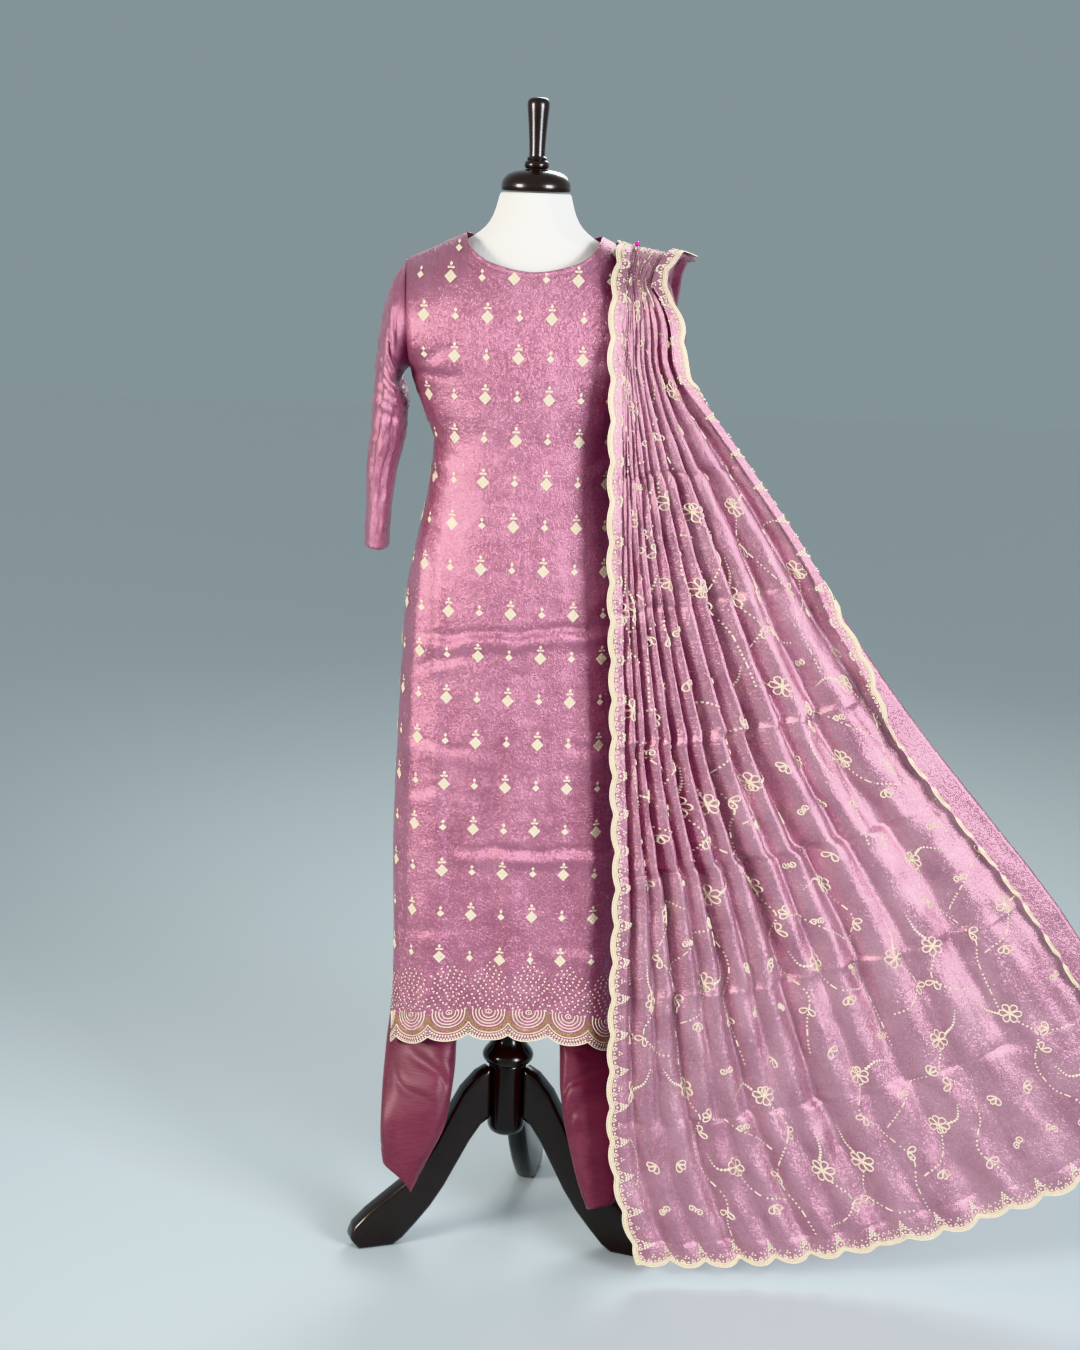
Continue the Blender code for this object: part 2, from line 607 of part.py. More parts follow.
def dupatta_row(edges, run, shares):
    """Points of the cloth's outer face along one section, and their outward directions."""
    left, right, outward, down = edge_frame(edges, run)
    crowd = column(CROWDING, "share", run) if edges is FRONT_EDGES else 0.0
    place = shares + crowd * (shares**2 - shares)
    width = np.linalg.norm(right - left)
    spacing = (1 - crowd + 2 * crowd * shares) * width / PLEATS
    depth = pleat_depth(shares, spacing, run)
    sag = column(edges, "sag", run) * 4 * place * (1 - place)
    points = left + np.outer(place, right - left) - np.outer(depth, outward) + np.outer(sag, down)
    return points, np.tile(outward, (len(shares), 1))


def pleat_shares():
    """Shares of the width at the margins and at each quarter of each pleat."""
    quarters = np.linspace(PLEAT_MARGIN, 1 - PLEAT_MARGIN, 4 * PLEATS + 1)
    return np.concatenate([[0], quarters, [1]])


def dupatta_wall(name, edges, runs):
    shares = pleat_shares()
    rows = [dupatta_row(edges, run, shares) for run in runs]
    grid = np.array([points for points, _ in rows])
    inward = -np.array([outward for _, outward in rows])
    cloth_wall(name, grid, DUPATTA_SILK, depth=inward, wall=PLEATED_WALL)


def build_dupatta():
    front_runs = SHOULDER_RUN + (FRONT_LENGTH - SHOULDER_RUN) * np.linspace(0, 1, 10) ** 1.25
    back_runs = SHOULDER_RUN + (BACK_LENGTH - SHOULDER_RUN) * np.linspace(0, 1, 6) ** 1.5
    dupatta_wall("dupatta_front", FRONT_EDGES, front_runs)
    dupatta_wall("dupatta_back", BACK_EDGES, back_runs)

    shares = pleat_shares()
    half = np.linspace(0, SHOULDER_RUN - SEAM, 2)
    rows = [dupatta_row(BACK_EDGES, run, shares) for run in half[:0:-1]]
    rows += [dupatta_row(FRONT_EDGES, run, shares) for run in half]
    grid = np.array([points for points, _ in rows])
    inward = -np.array([outward for _, outward in rows])
    inward[1] = (0, 0, -1)
    cloth_wall("dupatta_shoulder", grid, DUPATTA_SILK, depth=inward, wall=PLEATED_WALL)

    turned_rows, turned_inward = [], []
    for run in np.linspace(TURNED_EDGE_START, FRONT_LENGTH, 10):
        left, right, outward, down = edge_frame(FRONT_EDGES, run)
        toward_left = (left - right) / np.linalg.norm(left - right)
        growth = (run - TURNED_EDGE_START) / TURNED_GROWTH * (1 - TURNED_START_SHARE)
        inset = TURNED_EDGE_WIDTH * min(TURNED_START_SHARE + growth, 1) * np.array([0, 0.25, 1.0])
        lift = CLOTH_WALL + 3 * SEAM + TURNED_LIFT
        place = inset / np.linalg.norm(left - right)
        sag = column(FRONT_EDGES, "sag", run) * 4 * place * (1 - place)
        turned_rows.append(right + np.outer(inset, toward_left) + np.outer(lift, outward)
                           + np.outer(sag, down))
        turned_inward.append(np.tile(-outward, (3, 1)))
    cloth_wall("dupatta_turned_edge", np.array(turned_rows), DUPATTA_SILK, depth=np.array(turned_inward))


PIN_HEAD = (0.139, -0.030, 1.4625)
PIN_HEAD_RADIUS = 0.0038


def build_pin():
    mesh = bpy.data.meshes.new("dupatta_pin")
    shape = bmesh.new()
    bmesh.ops.create_uvsphere(shape, u_segments=16, v_segments=10, radius=PIN_HEAD_RADIUS)
    shape.to_mesh(mesh)
    shape.free()
    mesh.shade_smooth()
    mesh.materials.append(PIN_PLASTIC)
    pin = bpy.data.objects.new("dupatta_pin", mesh)
    pin.location = PIN_HEAD
    bpy.context.collection.objects.link(pin)


build_form()
build_legs()
build_body()
build_sleeves()
build_trousers()
build_dupatta()
build_pin()

# The whole object moves so that its box stands centred over the origin.
bpy.context.view_layer.update()
corners = np.array([
    made.matrix_world @ vertex.co for made in bpy.data.objects for vertex in made.data.vertices
])
low, high = corners.min(axis=0), corners.max(axis=0)
for made in bpy.data.objects:
    made.location.x -= (low[0] + high[0]) / 2
    made.location.y -= (low[1] + high[1]) / 2
    made.location.z -= low[2]
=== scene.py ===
import math

import bpy
import mathutils
import numpy as np
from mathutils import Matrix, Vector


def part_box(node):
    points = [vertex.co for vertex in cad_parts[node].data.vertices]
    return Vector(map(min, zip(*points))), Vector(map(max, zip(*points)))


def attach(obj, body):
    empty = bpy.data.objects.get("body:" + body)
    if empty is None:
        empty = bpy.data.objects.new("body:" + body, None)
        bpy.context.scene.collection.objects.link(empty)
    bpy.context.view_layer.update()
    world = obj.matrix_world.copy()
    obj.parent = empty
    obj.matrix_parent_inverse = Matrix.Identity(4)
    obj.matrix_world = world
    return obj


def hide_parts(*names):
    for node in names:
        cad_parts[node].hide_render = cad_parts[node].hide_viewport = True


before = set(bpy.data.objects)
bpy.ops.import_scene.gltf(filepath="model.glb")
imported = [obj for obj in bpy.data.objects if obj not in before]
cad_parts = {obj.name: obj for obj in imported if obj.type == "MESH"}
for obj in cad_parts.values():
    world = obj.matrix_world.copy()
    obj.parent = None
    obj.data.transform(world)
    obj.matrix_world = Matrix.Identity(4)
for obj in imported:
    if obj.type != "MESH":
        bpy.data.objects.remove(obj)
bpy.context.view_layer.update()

# ---------------------------------------------------------------- stand
# The stand is a turned and sawn hardwood tripod: a pole, a hub with a bell-shaped collar, and three
# curved legs tenoned into the hub. Brushed near-black lacquer gives it hard, deep reflections.

BODY = "root"
POLE_FOOT, POLE_HEAD = (np.array(corner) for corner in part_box("stand_pole"))
AXIS = np.array([(POLE_FOOT[0] + POLE_HEAD[0]) / 2, (POLE_FOOT[1] + POLE_HEAD[1]) / 2, 0.0])


def srgb(colour):
    """A linear RGBA tuple from an sRGB hex colour."""
    channels = [int(colour[i : i + 2], 16) / 255 for i in (1, 3, 5)]
    return (*[c / 12.92 if c <= 0.04045 else ((c + 0.055) / 1.055) ** 2.4 for c in channels], 1.0)


def node(tree, kind, links=(), **settings):
    """Adds one node; links are (own input, other node, its output), settings are inputs or fields."""
    made = tree.nodes.new(kind)
    for name, value in settings.items():
        if hasattr(made, name):
            setattr(made, name, value)
        else:
            made.inputs[name.replace("_", " ")].default_value = value
    for own, other, output in links:
        tree.links.new(other.outputs[output], made.inputs[own])
    return made


def principled(name, **settings):
    """A new material and its Principled shader, with constant values on the shader's own sockets."""
    made = bpy.data.materials.new(name)
    made.use_nodes = True
    shader = made.node_tree.nodes["Principled BSDF"]
    for socket, value in settings.items():
        shader.inputs[socket.replace("_", " ")].default_value = value
    return made, made.node_tree, shader


def two_tones(tree, driver, output, dark, light, start=0.0, end=1.0):
    """A colour that goes from dark to light while a node's output rises from start to end."""
    tone = node(tree, "ShaderNodeValToRGB", [("Fac", driver, output)])
    low, high = tone.color_ramp.elements
    low.position, high.position = start, end
    low.color, high.color = srgb(dark), srgb(light)
    return tone


def wire(tree, shader, colour, bump):
    """Links a material's colour and its bump to its shader."""
    tree.links.new(colour.outputs["Color"], shader.inputs["Base Color"])
    tree.links.new(bump.outputs["Normal"], shader.inputs["Normal"])


def lacquered_wood(name, colour, brush_mm):
    """Lacquered hardwood: a thick glossy coat with a slight orange peel over very dark wood."""
    made, tree, shader = principled(name, Roughness=0.27, IOR=1.5, Coat_Weight=0.45, Coat_Roughness=0.08)
    place = node(tree, "ShaderNodeTexCoord")
    grain = node(tree, "ShaderNodeTexNoise", [("Vector", place, "Object")], Scale=1000 / brush_mm, Detail=4.0)
    tone = two_tones(tree, grain, "Fac", colour, "#2B211D", end=0.9)
    peel = node(tree, "ShaderNodeTexNoise", [("Vector", place, "Object")], Scale=1000 / 9.0, Detail=2.0)
    bump = node(tree, "ShaderNodeBump", [("Height", peel, "Fac")], Strength=0.12, Distance=0.0006)
    wire(tree, shader, tone, bump)
    return made


STAND_FINISH = lacquered_wood("black_lacquered_beech", "#15100E", brush_mm=6.0)


def finish_piece(piece, surface, slot, *nodes, smooth=35):
    """Gives a finished hard piece its finish and smooth shading, parents it to the body and hides the CAD
    nodes it stands for.
    """
    piece.data.materials.clear()
    piece.data.materials.append(surface)
    bpy.ops.object.select_all(action="DESELECT")
    piece.select_set(True)
    bpy.context.view_layer.objects.active = piece
    bpy.ops.object.transform_apply(location=True, rotation=True, scale=True)
    bpy.ops.object.shade_smooth_by_angle(angle=math.radians(smooth))
    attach(piece, BODY)
    if nodes:
        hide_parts(*nodes)
    return piece


def turn_on_lathe(name, rows, steps=72):
    """A turned piece: a disc extruded up the pole's axis and scaled to each (radius, height)."""
    bpy.ops.object.select_all(action="DESELECT")
    radius, height = rows[0]
    bpy.ops.mesh.primitive_circle_add(
        vertices=steps, radius=radius, fill_type="NGON", location=(AXIS[0], AXIS[1], height))
    piece = bpy.context.object
    piece.name = name
    bpy.ops.object.mode_set(mode="EDIT")
    bpy.ops.mesh.select_all(action="SELECT")
    for next_radius, next_height in rows[1:]:
        bpy.ops.mesh.extrude_region_move(
            TRANSFORM_OT_translate={"value": (0, 0, next_height - height)})
        ratio = next_radius / radius
        bpy.ops.transform.resize(value=(ratio, ratio, 1), center_override=(AXIS[0], AXIS[1], next_height))
        radius, height = next_radius, next_height
    bpy.ops.mesh.select_all(action="SELECT")
    bpy.ops.mesh.normals_make_consistent(inside=False)
    bpy.ops.object.mode_set(mode="OBJECT")
    return piece


pole = turn_on_lathe("pole", [(0.0175, 0.3203), (0.0175, 0.8677)], steps=48)
finish_piece(pole, STAND_FINISH, "stand_lacquer", "stand_pole")

HUB_ROWS = [(0.0120, 0.1580), (0.0205, 0.1588), (0.0245, 0.1620), (0.0275, 0.1690), (0.0280, 0.1740),
            (0.0280, 0.2660), (0.0275, 0.2680), (0.0265, 0.2690), (0.0310, 0.2700), (0.0345, 0.2722),
            (0.0368, 0.2755), (0.0378, 0.2800), (0.0368, 0.2840), (0.0345, 0.2880), (0.0300, 0.2935),
            (0.0262, 0.2990), (0.0235, 0.3050), (0.0218, 0.3110), (0.0208, 0.3160), (0.0200, 0.3190),
            (0.0190, 0.3200)]
hub = turn_on_lathe("hub", HUB_ROWS)
finish_piece(hub, STAND_FINISH, "stand_lacquer", "stand_hub")

# Stations down a leg: the upper edge's and the lower edge's reach from the pole, and their heights.
LEG_STATIONS = [
    (0.0290, 0.2660, 0.0290, 0.1860), (0.0480, 0.2560, 0.0430, 0.1760),
    (0.0700, 0.2330, 0.0600, 0.1520), (0.0900, 0.1980, 0.0790, 0.1180),
    (0.1090, 0.1600, 0.0980, 0.0840), (0.1320, 0.1250, 0.1180, 0.0550),
    (0.1590, 0.0950, 0.1400, 0.0300), (0.1880, 0.0740, 0.1600, 0.0090),
    (0.2120, 0.0560, 0.1740, 0.0000), (0.2320, 0.0370, 0.2000, 0.0000),
    (0.2400, 0.0180, 0.2260, 0.0000),
]
LEG_THICKNESS = 0.030
LEG_TURNS = {"leg_right": ("stand_leg_right", 199), "leg_left": ("stand_leg_left", 341),
             "leg_rear": ("stand_leg_rear", 79)}


def saw_leg():
    """One leg along +X: a board extruded station by station, its edges rounded over."""
    bpy.ops.object.select_all(action="DESELECT")
    bpy.ops.mesh.primitive_plane_add(size=1, location=(AXIS[0], AXIS[1], 0))
    leg = bpy.context.object
    first = LEG_STATIONS[0]
    half = LEG_THICKNESS / 2
    corners = [(first[2], -half, first[3]), (first[2], half, first[3]),
               (first[0], -half, first[1]), (first[0], half, first[1])]
    for vertex, (reach, across, height) in zip(leg.data.vertices, corners):
        vertex.co = (reach, across, height)
    bpy.ops.object.mode_set(mode="EDIT")
    bpy.ops.mesh.select_all(action="SELECT")
    for before, after in zip(LEG_STATIONS, LEG_STATIONS[1:]):
        bpy.ops.mesh.extrude_region_move(TRANSFORM_OT_translate={"value": (0, 0, 0)})
        bpy.ops.object.mode_set(mode="OBJECT")
        fresh = [v for v in leg.data.vertices if v.select]
        fresh.sort(key=lambda v: v.co.z)
        for vertex, (r, z) in zip(fresh, [after[2:], after[2:], after[:2], after[:2]]):
            vertex.co.x, vertex.co.z = r, z
        bpy.ops.object.mode_set(mode="EDIT")
    bpy.ops.mesh.select_all(action="SELECT")
    bpy.ops.mesh.normals_make_consistent(inside=False)
    bpy.ops.object.mode_set(mode="OBJECT")
    rounding = leg.modifiers.new("rounded edges", "BEVEL")
    rounding.width, rounding.segments, rounding.angle_limit = 0.006, 3, math.radians(55)
    bpy.ops.object.modifier_apply(modifier=rounding.name)
    return leg


leg_pattern = saw_leg()
for name, (cad_node, degrees) in LEG_TURNS.items():
    leg = leg_pattern.copy()
    leg.data = leg_pattern.data.copy()
    leg.name = name
    leg.location = (AXIS[0], AXIS[1], 0)
    leg.rotation_euler = (0, 0, math.radians(degrees))
    bpy.context.collection.objects.link(leg)
    finish_piece(leg, STAND_FINISH, "stand_lacquer", cad_node, smooth=40)
bpy.data.objects.remove(leg_pattern, do_unlink=True)

# ---------------------------------------------------------------- dress form
# The form is a padded papier-mache torso under one piece of white cotton jersey, pulled smooth and
# turned under at the neck. Its turned wooden cap and handle screw into the neck.

# Rings up the form: height, half width, front depth, back depth.
FORM_RINGS = [
    (0.868, 0.112, 0.060, 0.066), (0.872, 0.126, 0.070, 0.076), (0.880, 0.139, 0.079, 0.085),
    (0.900, 0.150, 0.089, 0.093), (0.940, 0.153, 0.094, 0.098), (0.980, 0.152, 0.095, 0.099),
    (1.050, 0.140, 0.093, 0.087), (1.120, 0.126, 0.092, 0.075), (1.186, 0.118, 0.095, 0.073),
    (1.240, 0.136, 0.103, 0.079), (1.290, 0.150, 0.106, 0.084), (1.350, 0.154, 0.099, 0.085),
    (1.400, 0.153, 0.083, 0.077), (1.425, 0.144, 0.069, 0.067), (1.440, 0.127, 0.0635, 0.0615),
    (1.454, 0.1035, 0.0595, 0.0575), (1.466, 0.0815, 0.0565, 0.0545), (1.478, 0.0655, 0.0535, 0.0525),
    (1.494, 0.0558, 0.0508, 0.0498), (1.512, 0.0510, 0.0490, 0.0480), (1.523, 0.0484, 0.0472, 0.0470),
    (1.5262, 0.0470, 0.0462, 0.0460),
]


def pad_form():
    """The torso: an oval disc extruded up ring by ring, then subdivided once."""
    bpy.ops.object.select_all(action="DESELECT")
    height, half_width, front, back = FORM_RINGS[0]
    bpy.ops.mesh.primitive_circle_add(vertices=48, radius=1, fill_type="NGON", location=(*AXIS[:2], height))
    form = bpy.context.object
    form.name = "form_body"
    bpy.ops.object.mode_set(mode="EDIT")
    bpy.ops.mesh.select_all(action="SELECT")
    centre = AXIS[1] + (back - front) / 2
    bpy.ops.transform.resize(value=(half_width, (front + back) / 2, 1))
    bpy.ops.transform.translate(value=(0, centre - AXIS[1], 0))
    was = (height, half_width, (front + back) / 2, centre)
    for height, half_width, front, back in FORM_RINGS[1:]:
        deep, centre = (front + back) / 2, AXIS[1] + (back - front) / 2
        bpy.ops.mesh.extrude_region_move(
            TRANSFORM_OT_translate={"value": (0, centre - was[3], height - was[0])})
        bpy.ops.transform.resize(
            value=(half_width / was[1], deep / was[2], 1), center_override=(AXIS[0], centre, height))
        was = (height, half_width, deep, centre)
    bpy.ops.mesh.select_all(action="SELECT")
    bpy.ops.mesh.normals_make_consistent(inside=False)
    bpy.ops.object.mode_set(mode="OBJECT")
    padding = form.modifiers.new("padding", "SUBSURF")
    padding.levels = padding.render_levels = 1
    bpy.ops.object.modifier_apply(modifier=padding.name)
    return form


def cotton_jersey(name):
    """Knitted cotton jersey: matt white, with fine ribs 1.2 mm apart, coarser than the real knit."""
    made, tree, shader = principled(name, Roughness=0.85, Sheen_Weight=0.25, Sheen_Roughness=0.5)
    place = node(tree, "ShaderNodeTexCoord")
    ribs = node(tree, "ShaderNodeTexWave", [("Vector", place, "Object")], wave_type="BANDS",
                bands_direction="X", Scale=1000 / 1.2 / 20, Distortion=0.6, Detail=1.0)
    cloud = node(tree, "ShaderNodeTexNoise", [("Vector", place, "Object")], Scale=14.0, Detail=3.0)
    tone = two_tones(tree, cloud, "Fac", "#E4E0D9", "#F4F1EC")
    bump = node(tree, "ShaderNodeBump", [("Height", ribs, "Fac")], Strength=0.15, Distance=0.0004)
    wire(tree, shader, tone, bump)
    return made


JERSEY = cotton_jersey("white_cotton_jersey")
finish_piece(pad_form(), JERSEY, "form_jersey", "form_torso", smooth=60)

CAP_FINISH = lacquered_wood("dark_lacquered_mango_wood", "#1E1413", brush_mm=5.0)
CAP_ROWS = [(0.0440, 1.5264), (0.0462, 1.5270), (0.0474, 1.5290), (0.0475, 1.5345), (0.0468, 1.5385),
            (0.0450, 1.5425), (0.0420, 1.5465), (0.0375, 1.5500), (0.0315, 1.5528), (0.0240, 1.5546),
            (0.0160, 1.5556), (0.0150, 1.5560)]
neck_cap = turn_on_lathe("cap_dome", CAP_ROWS)
finish_piece(neck_cap, CAP_FINISH, "cap_wood", "neck_cap")
HANDLE_ROWS = [(0.0120, 1.5563), (0.0150, 1.5570), (0.0165, 1.5592), (0.0170, 1.5620), (0.0163, 1.5648),
               (0.0145, 1.5668), (0.0128, 1.5678), (0.0134, 1.5690), (0.0136, 1.5705), (0.0126, 1.5718),
               (0.0108, 1.5730), (0.0108, 1.5800), (0.0114, 1.5920), (0.0122, 1.6050), (0.0133, 1.6190),
               (0.0145, 1.6310), (0.0152, 1.6385), (0.0151, 1.6430), (0.0140, 1.6465), (0.0115, 1.6488),
               (0.0070, 1.6498), (0.0030, 1.6500)]
handle = turn_on_lathe("cap_handle", HANDLE_ROWS, steps=48)
finish_piece(handle, CAP_FINISH, "cap_wood", "neck_cap_handle")

# ---------------------------------------------------------------- kameez body
# The tunic is cut from rose tissue silk: a front and a back panel, joined at the shoulders and down
# the sides to the slits. Its edges are turned under and stitched; the hem is scalloped.

CLOTH_WALL = 0.0008
SEAM = 0.0003
# The dressed body: height, half width, and the cloth's depth in front of and behind the pole.
BODY_ROWS = [
    (0.270, 0.170, 0.126, 0.118), (0.300, 0.170, 0.125, 0.118), (0.450, 0.170, 0.122, 0.118),
    (0.630, 0.174, 0.120, 0.119), (0.780, 0.171, 0.119, 0.120), (0.900, 0.167, 0.118, 0.120),
    (0.980, 0.163, 0.117, 0.118), (1.050, 0.150, 0.114, 0.108), (1.120, 0.136, 0.112, 0.096),
    (1.186, 0.129, 0.112, 0.092), (1.240, 0.148, 0.116, 0.096), (1.290, 0.164, 0.118, 0.100),
    (1.350, 0.166, 0.114, 0.102), (1.400, 0.170, 0.108, 0.101), (1.435, 0.173, 0.104, 0.100),
    (1.490, 0.174, 0.102, 0.099),
]
BODY_SQUARENESS = 3.0
NECK_POINT, SHOULDER_TIP, SHOULDER_LEVEL = (0.090, 1.471), (0.173, 1.432), 1.44
UNDERARM, ARMHOLE_OPENING = 1.288, 0.090
SLIT_TOP, SLIT_SPREAD = 0.900, 0.060
SIDE_HEM, HEM_RISE = 0.318, 0.033
SHOULDER_ROUND, NECK_ROUND_EXTRA, NECK_RIDGE_RISE = 0.11, 0.09, 0.060
LEVELS = np.linspace(0.280, 1.475, 240)
SHARES = np.linspace(0, 1, 161)
# The scalloped hem: every line of it is an arc about an eye that lies this far above the edge.
HEM_SCALLOP, HEM_EYE = 0.0565, 0.0435


def table(names, rows):
    """Named columns from rows of numbers; the first column is the key and rises."""
    return dict(zip(names.split(), np.array(rows, float).T))


def smooth(at, keys, values):
    """Monotone cubic through (keys, values): it keeps to the table's highs and lows."""
    at = np.asarray(at, float)
    step = np.diff(keys)
    slope = np.diff(values) / step
    tangent = np.zeros(len(keys))
    product, total = slope[1:] * slope[:-1], slope[1:] + slope[:-1]
    tangent[1:-1] = np.where(product > 0, 2 * product / np.where(product > 0, total, 1), 0)
    tangent[0], tangent[-1] = slope[0], slope[-1]
    span = np.clip(np.searchsorted(keys, at) - 1, 0, len(step) - 1)
    u = np.clip((at - keys[span]) / step[span], 0, 1)
    bend = step[span] * (u * (1 - u) ** 2 * tangent[span] - u**2 * (1 - u) * tangent[span + 1])
    return values[span] + (values[span + 1] - values[span]) * u * u * (3 - 2 * u) + bend


def column(data, name, at):
    """A table's column read at any key, or at an array of keys."""
    return smooth(at, next(iter(data.values())), data[name])


def ease(at, start, end):
    """0 at start, 1 at end, with a smooth turn at both."""
    t = np.clip((np.asarray(at, float) - start) / (end - start), 0, 1)
    return t * t * (3 - 2 * t)


def read_grid(grid, row, place):
    """Reads grid[row, place] between its points."""
    row = np.clip(row, 0, grid.shape[0] - 1.001)
    place = np.clip(place, 0, grid.shape[1] - 1.001)
    r, c = row.astype(int), place.astype(int)
    down, over = row - r, place - c
    return ((grid[r, c] * (1 - over) + grid[r, c + 1] * over) * (1 - down)
            + (grid[r + 1, c] * (1 - over) + grid[r + 1, c + 1] * over) * down)


def rumple(a, b, seed, size_a, size_b, sharp=False, waves=26):
    """Even, seeded unevenness of about 1 over flat cloth; sharp gives creases in place of swells."""
    draw = np.random.default_rng(seed)
    total = np.zeros(np.broadcast(a, b).shape)
    for _ in range(waves):
        turn, reach, phase = draw.uniform(0, 2 * math.pi), draw.uniform(0.55, 1.35), draw.uniform(0, 7)
        place = math.cos(turn) * a / size_a + math.sin(turn) * b / size_b
        wave = np.sin(reach * place * 2 * math.pi + phase)
        total += 1.6 * (0.64 - np.abs(wave)) if sharp else wave
    return total / math.sqrt(waves / 2)


def ridge(x):
    """Height of the shoulder line over X; between the neck points it rises into the open neck."""
    (neck_x, neck_z), (tip_x, tip_z) = NECK_POINT, SHOULDER_TIP
    x = np.abs(x)
    slope = neck_z - (x - neck_x) * (neck_z - tip_z) / (tip_x - neck_x)
    inside = np.sqrt(np.clip(1 - (x / neck_x) ** 2, 0, 1))
    return np.where(x > neck_x, slope, neck_z + NECK_RIDGE_RISE * inside), inside


def side_opening(height):
    """How far the panel's side edge stands from the mid plane: at the armhole, seam and slit."""
    middle, reach = (SHOULDER_TIP[1] + UNDERARM) / 2, (SHOULDER_TIP[1] - UNDERARM) / 2
    arm = ARMHOLE_OPENING * np.sqrt(np.clip(1 - ((height - middle) / reach) ** 2, 0, 1))
    down = np.clip((SLIT_TOP - height) / (SLIT_TOP - SIDE_HEM), 0, 1)
    return np.maximum(np.maximum(arm, SLIT_SPREAD * down**1.5), SEAM / 2)


BODY_TABLE = table("height half_width front back", BODY_ROWS)


def section_grids(depth_column):
    """X and depth of a panel's outer face over LEVELS and SHARES, and its width at each level."""
    across, deep, widths = [], [], []
    angle = np.linspace(-math.pi / 2, math.pi / 2, 241)
    for height in LEVELS:
        half_width = column(BODY_TABLE, "half_width", height)
        edge = side_opening(height)
        depth = column(BODY_TABLE, depth_column, height)
        x = np.sign(np.sin(angle)) * np.abs(np.sin(angle)) ** (2 / BODY_SQUARENESS) * half_width
        y = edge + (depth - edge) * np.abs(np.cos(angle)) ** (2 / BODY_SQUARENESS)
        length = np.concatenate([[0], np.cumsum(np.hypot(np.diff(x), np.diff(y)))])
        across.append(np.interp(SHARES * length[-1], length, x))
        deep.append(np.interp(SHARES * length[-1], length, y))
        widths.append(length[-1])
    return {"across": np.array(across), "deep": np.array(deep), "widths": np.array(widths)}


PANELS = {"front": {"toward": -1, "neck_drop": 0.048, **section_grids("front")},
          "back": {"toward": 1, "neck_drop": 0.014, **section_grids("back")}}


def panel_width(panel, height):
    """The panel's width along the cloth at each height."""
    return np.interp(height, LEVELS, PANELS[panel]["widths"])


def bare_panel(panel, share, height):
    """Points of a panel before any crease, for shares of its width and heights."""
    row = np.interp(height, LEVELS, np.arange(len(LEVELS)))
    x, y = (read_grid(PANELS[panel][grid], row, share * (len(SHARES) - 1)) for grid in ("across", "deep"))
    top_line, inside = ridge(x)
    fall = np.clip((top_line - height) / (SHOULDER_ROUND + NECK_ROUND_EXTRA * inside), 0, 1)
    y = np.maximum(y * np.sqrt(1 - (1 - fall) ** 2), SEAM / 2)
    return np.stack([AXIS[0] + x, AXIS[1] + PANELS[panel]["toward"] * y, height], axis=-1)


def face_of(surface, a, b, outward, step=0.002):
    """A surface's points and their outward normals, at flat places a and b."""
    along_a = surface(a + step, b) - surface(a - step, b)
    along_b = surface(a, b + step) - surface(a, b - step)
    normal = outward * np.cross(along_a, along_b)
    return surface(a, b), normal / np.maximum(np.linalg.norm(normal, axis=-1, keepdims=True), 1e-12)


# Creases pressed in while the suit lay folded, and pulls between bust, waist and hip:
# start and end as distance across and height, depth, width, and how far the cloth swells below.
CREASES = table("number a0 b0 a1 b1 depth width swell", [
    (0, -0.200, 0.924, 0.190, 0.957, 0.0036, 0.0050, 0.0040),
    (1, -0.110, 0.629, 0.190, 0.634, 0.0034, 0.0045, 0.0036),
    (2, -0.200, 0.786, -0.020, 0.770, 0.0016, 0.0060, 0.0014),
    (3, 0.040, 0.778, 0.190, 0.786, 0.0014, 0.0060, 0.0012),
    (4, -0.160, 0.880, -0.060, 0.909, 0.0026, 0.0050, 0.0020),
    (5, -0.190, 0.700, -0.090, 0.716, 0.0016, 0.0055, 0.0012),
    (6, -0.180, 1.205, -0.075, 1.160, 0.0022, 0.0065, 0.0016),
    (7, -0.180, 1.155, -0.095, 1.140, 0.0022, 0.0060, 0.0016),
    (8, 0.080, 1.165, 0.180, 1.215, 0.0022, 0.0065, 0.0016),
    (9, -0.190, 1.290, -0.085, 1.325, 0.0022, 0.0075, 0.0016),
    (10, 0.085, 1.325, 0.190, 1.290, 0.0022, 0.0075, 0.0016),
    (11, -0.170, 1.075, -0.100, 1.060, 0.0022, 0.0060, 0.0016),
    (12, -0.200, 0.500, -0.060, 0.512, 0.0012, 0.0060, 0.0012),
    (13, 0.020, 0.493, 0.200, 0.486, 0.0012, 0.0060, 0.0012),
])
# Long soft folds down the cloth: place across at the top and the foot, heights, rise and width.
FOLDS = table("number a0 b0 a1 b1 rise width", [
    (0, -0.118, 1.150, -0.100, 0.380, 0.0034, 0.0100),
    (1, 0.093, 0.950, 0.108, 0.400, 0.0036, 0.0110),
    (2, -0.060, 0.900, -0.048, 0.360, 0.0016, 0.0150),
    (3, 0.028, 0.820, 0.036, 0.360, 0.0020, 0.0160),
    (4, -0.150, 1.100, -0.155, 0.420, 0.0030, 0.0120),
    (5, 0.150, 1.080, 0.158, 0.420, 0.0030, 0.0120),
])


def crease_relief(creases, a, b):
    """Relief of a table of creases: a narrow trough, and a soft swell on the side below it."""
    total = np.zeros(np.broadcast(a, b).shape)
    for _, a0, b0, a1, b1, depth, width, swell in zip(*creases.values()):
        length = math.hypot(a1 - a0, b1 - b0)
        along = ((a - a0) * (a1 - a0) + (b - b0) * (b1 - b0)) / length
        off = ((b - b0) * (a1 - a0) - (a - a0) * (b1 - b0)) / length
        off = off + 0.0022 * np.sin(along * 61 + 9 * b0) + 0.0012 * np.sin(along * 143 + 5 * a0)
        ends = ease(along, 0, 0.3 * length) * (1 - ease(along, 0.7 * length, length))
        total += ends * (-depth * np.exp(-((off / width) ** 2))
                         + swell * np.exp(-(((off + 2.6 * width) / (2.2 * width)) ** 2)))
    return total


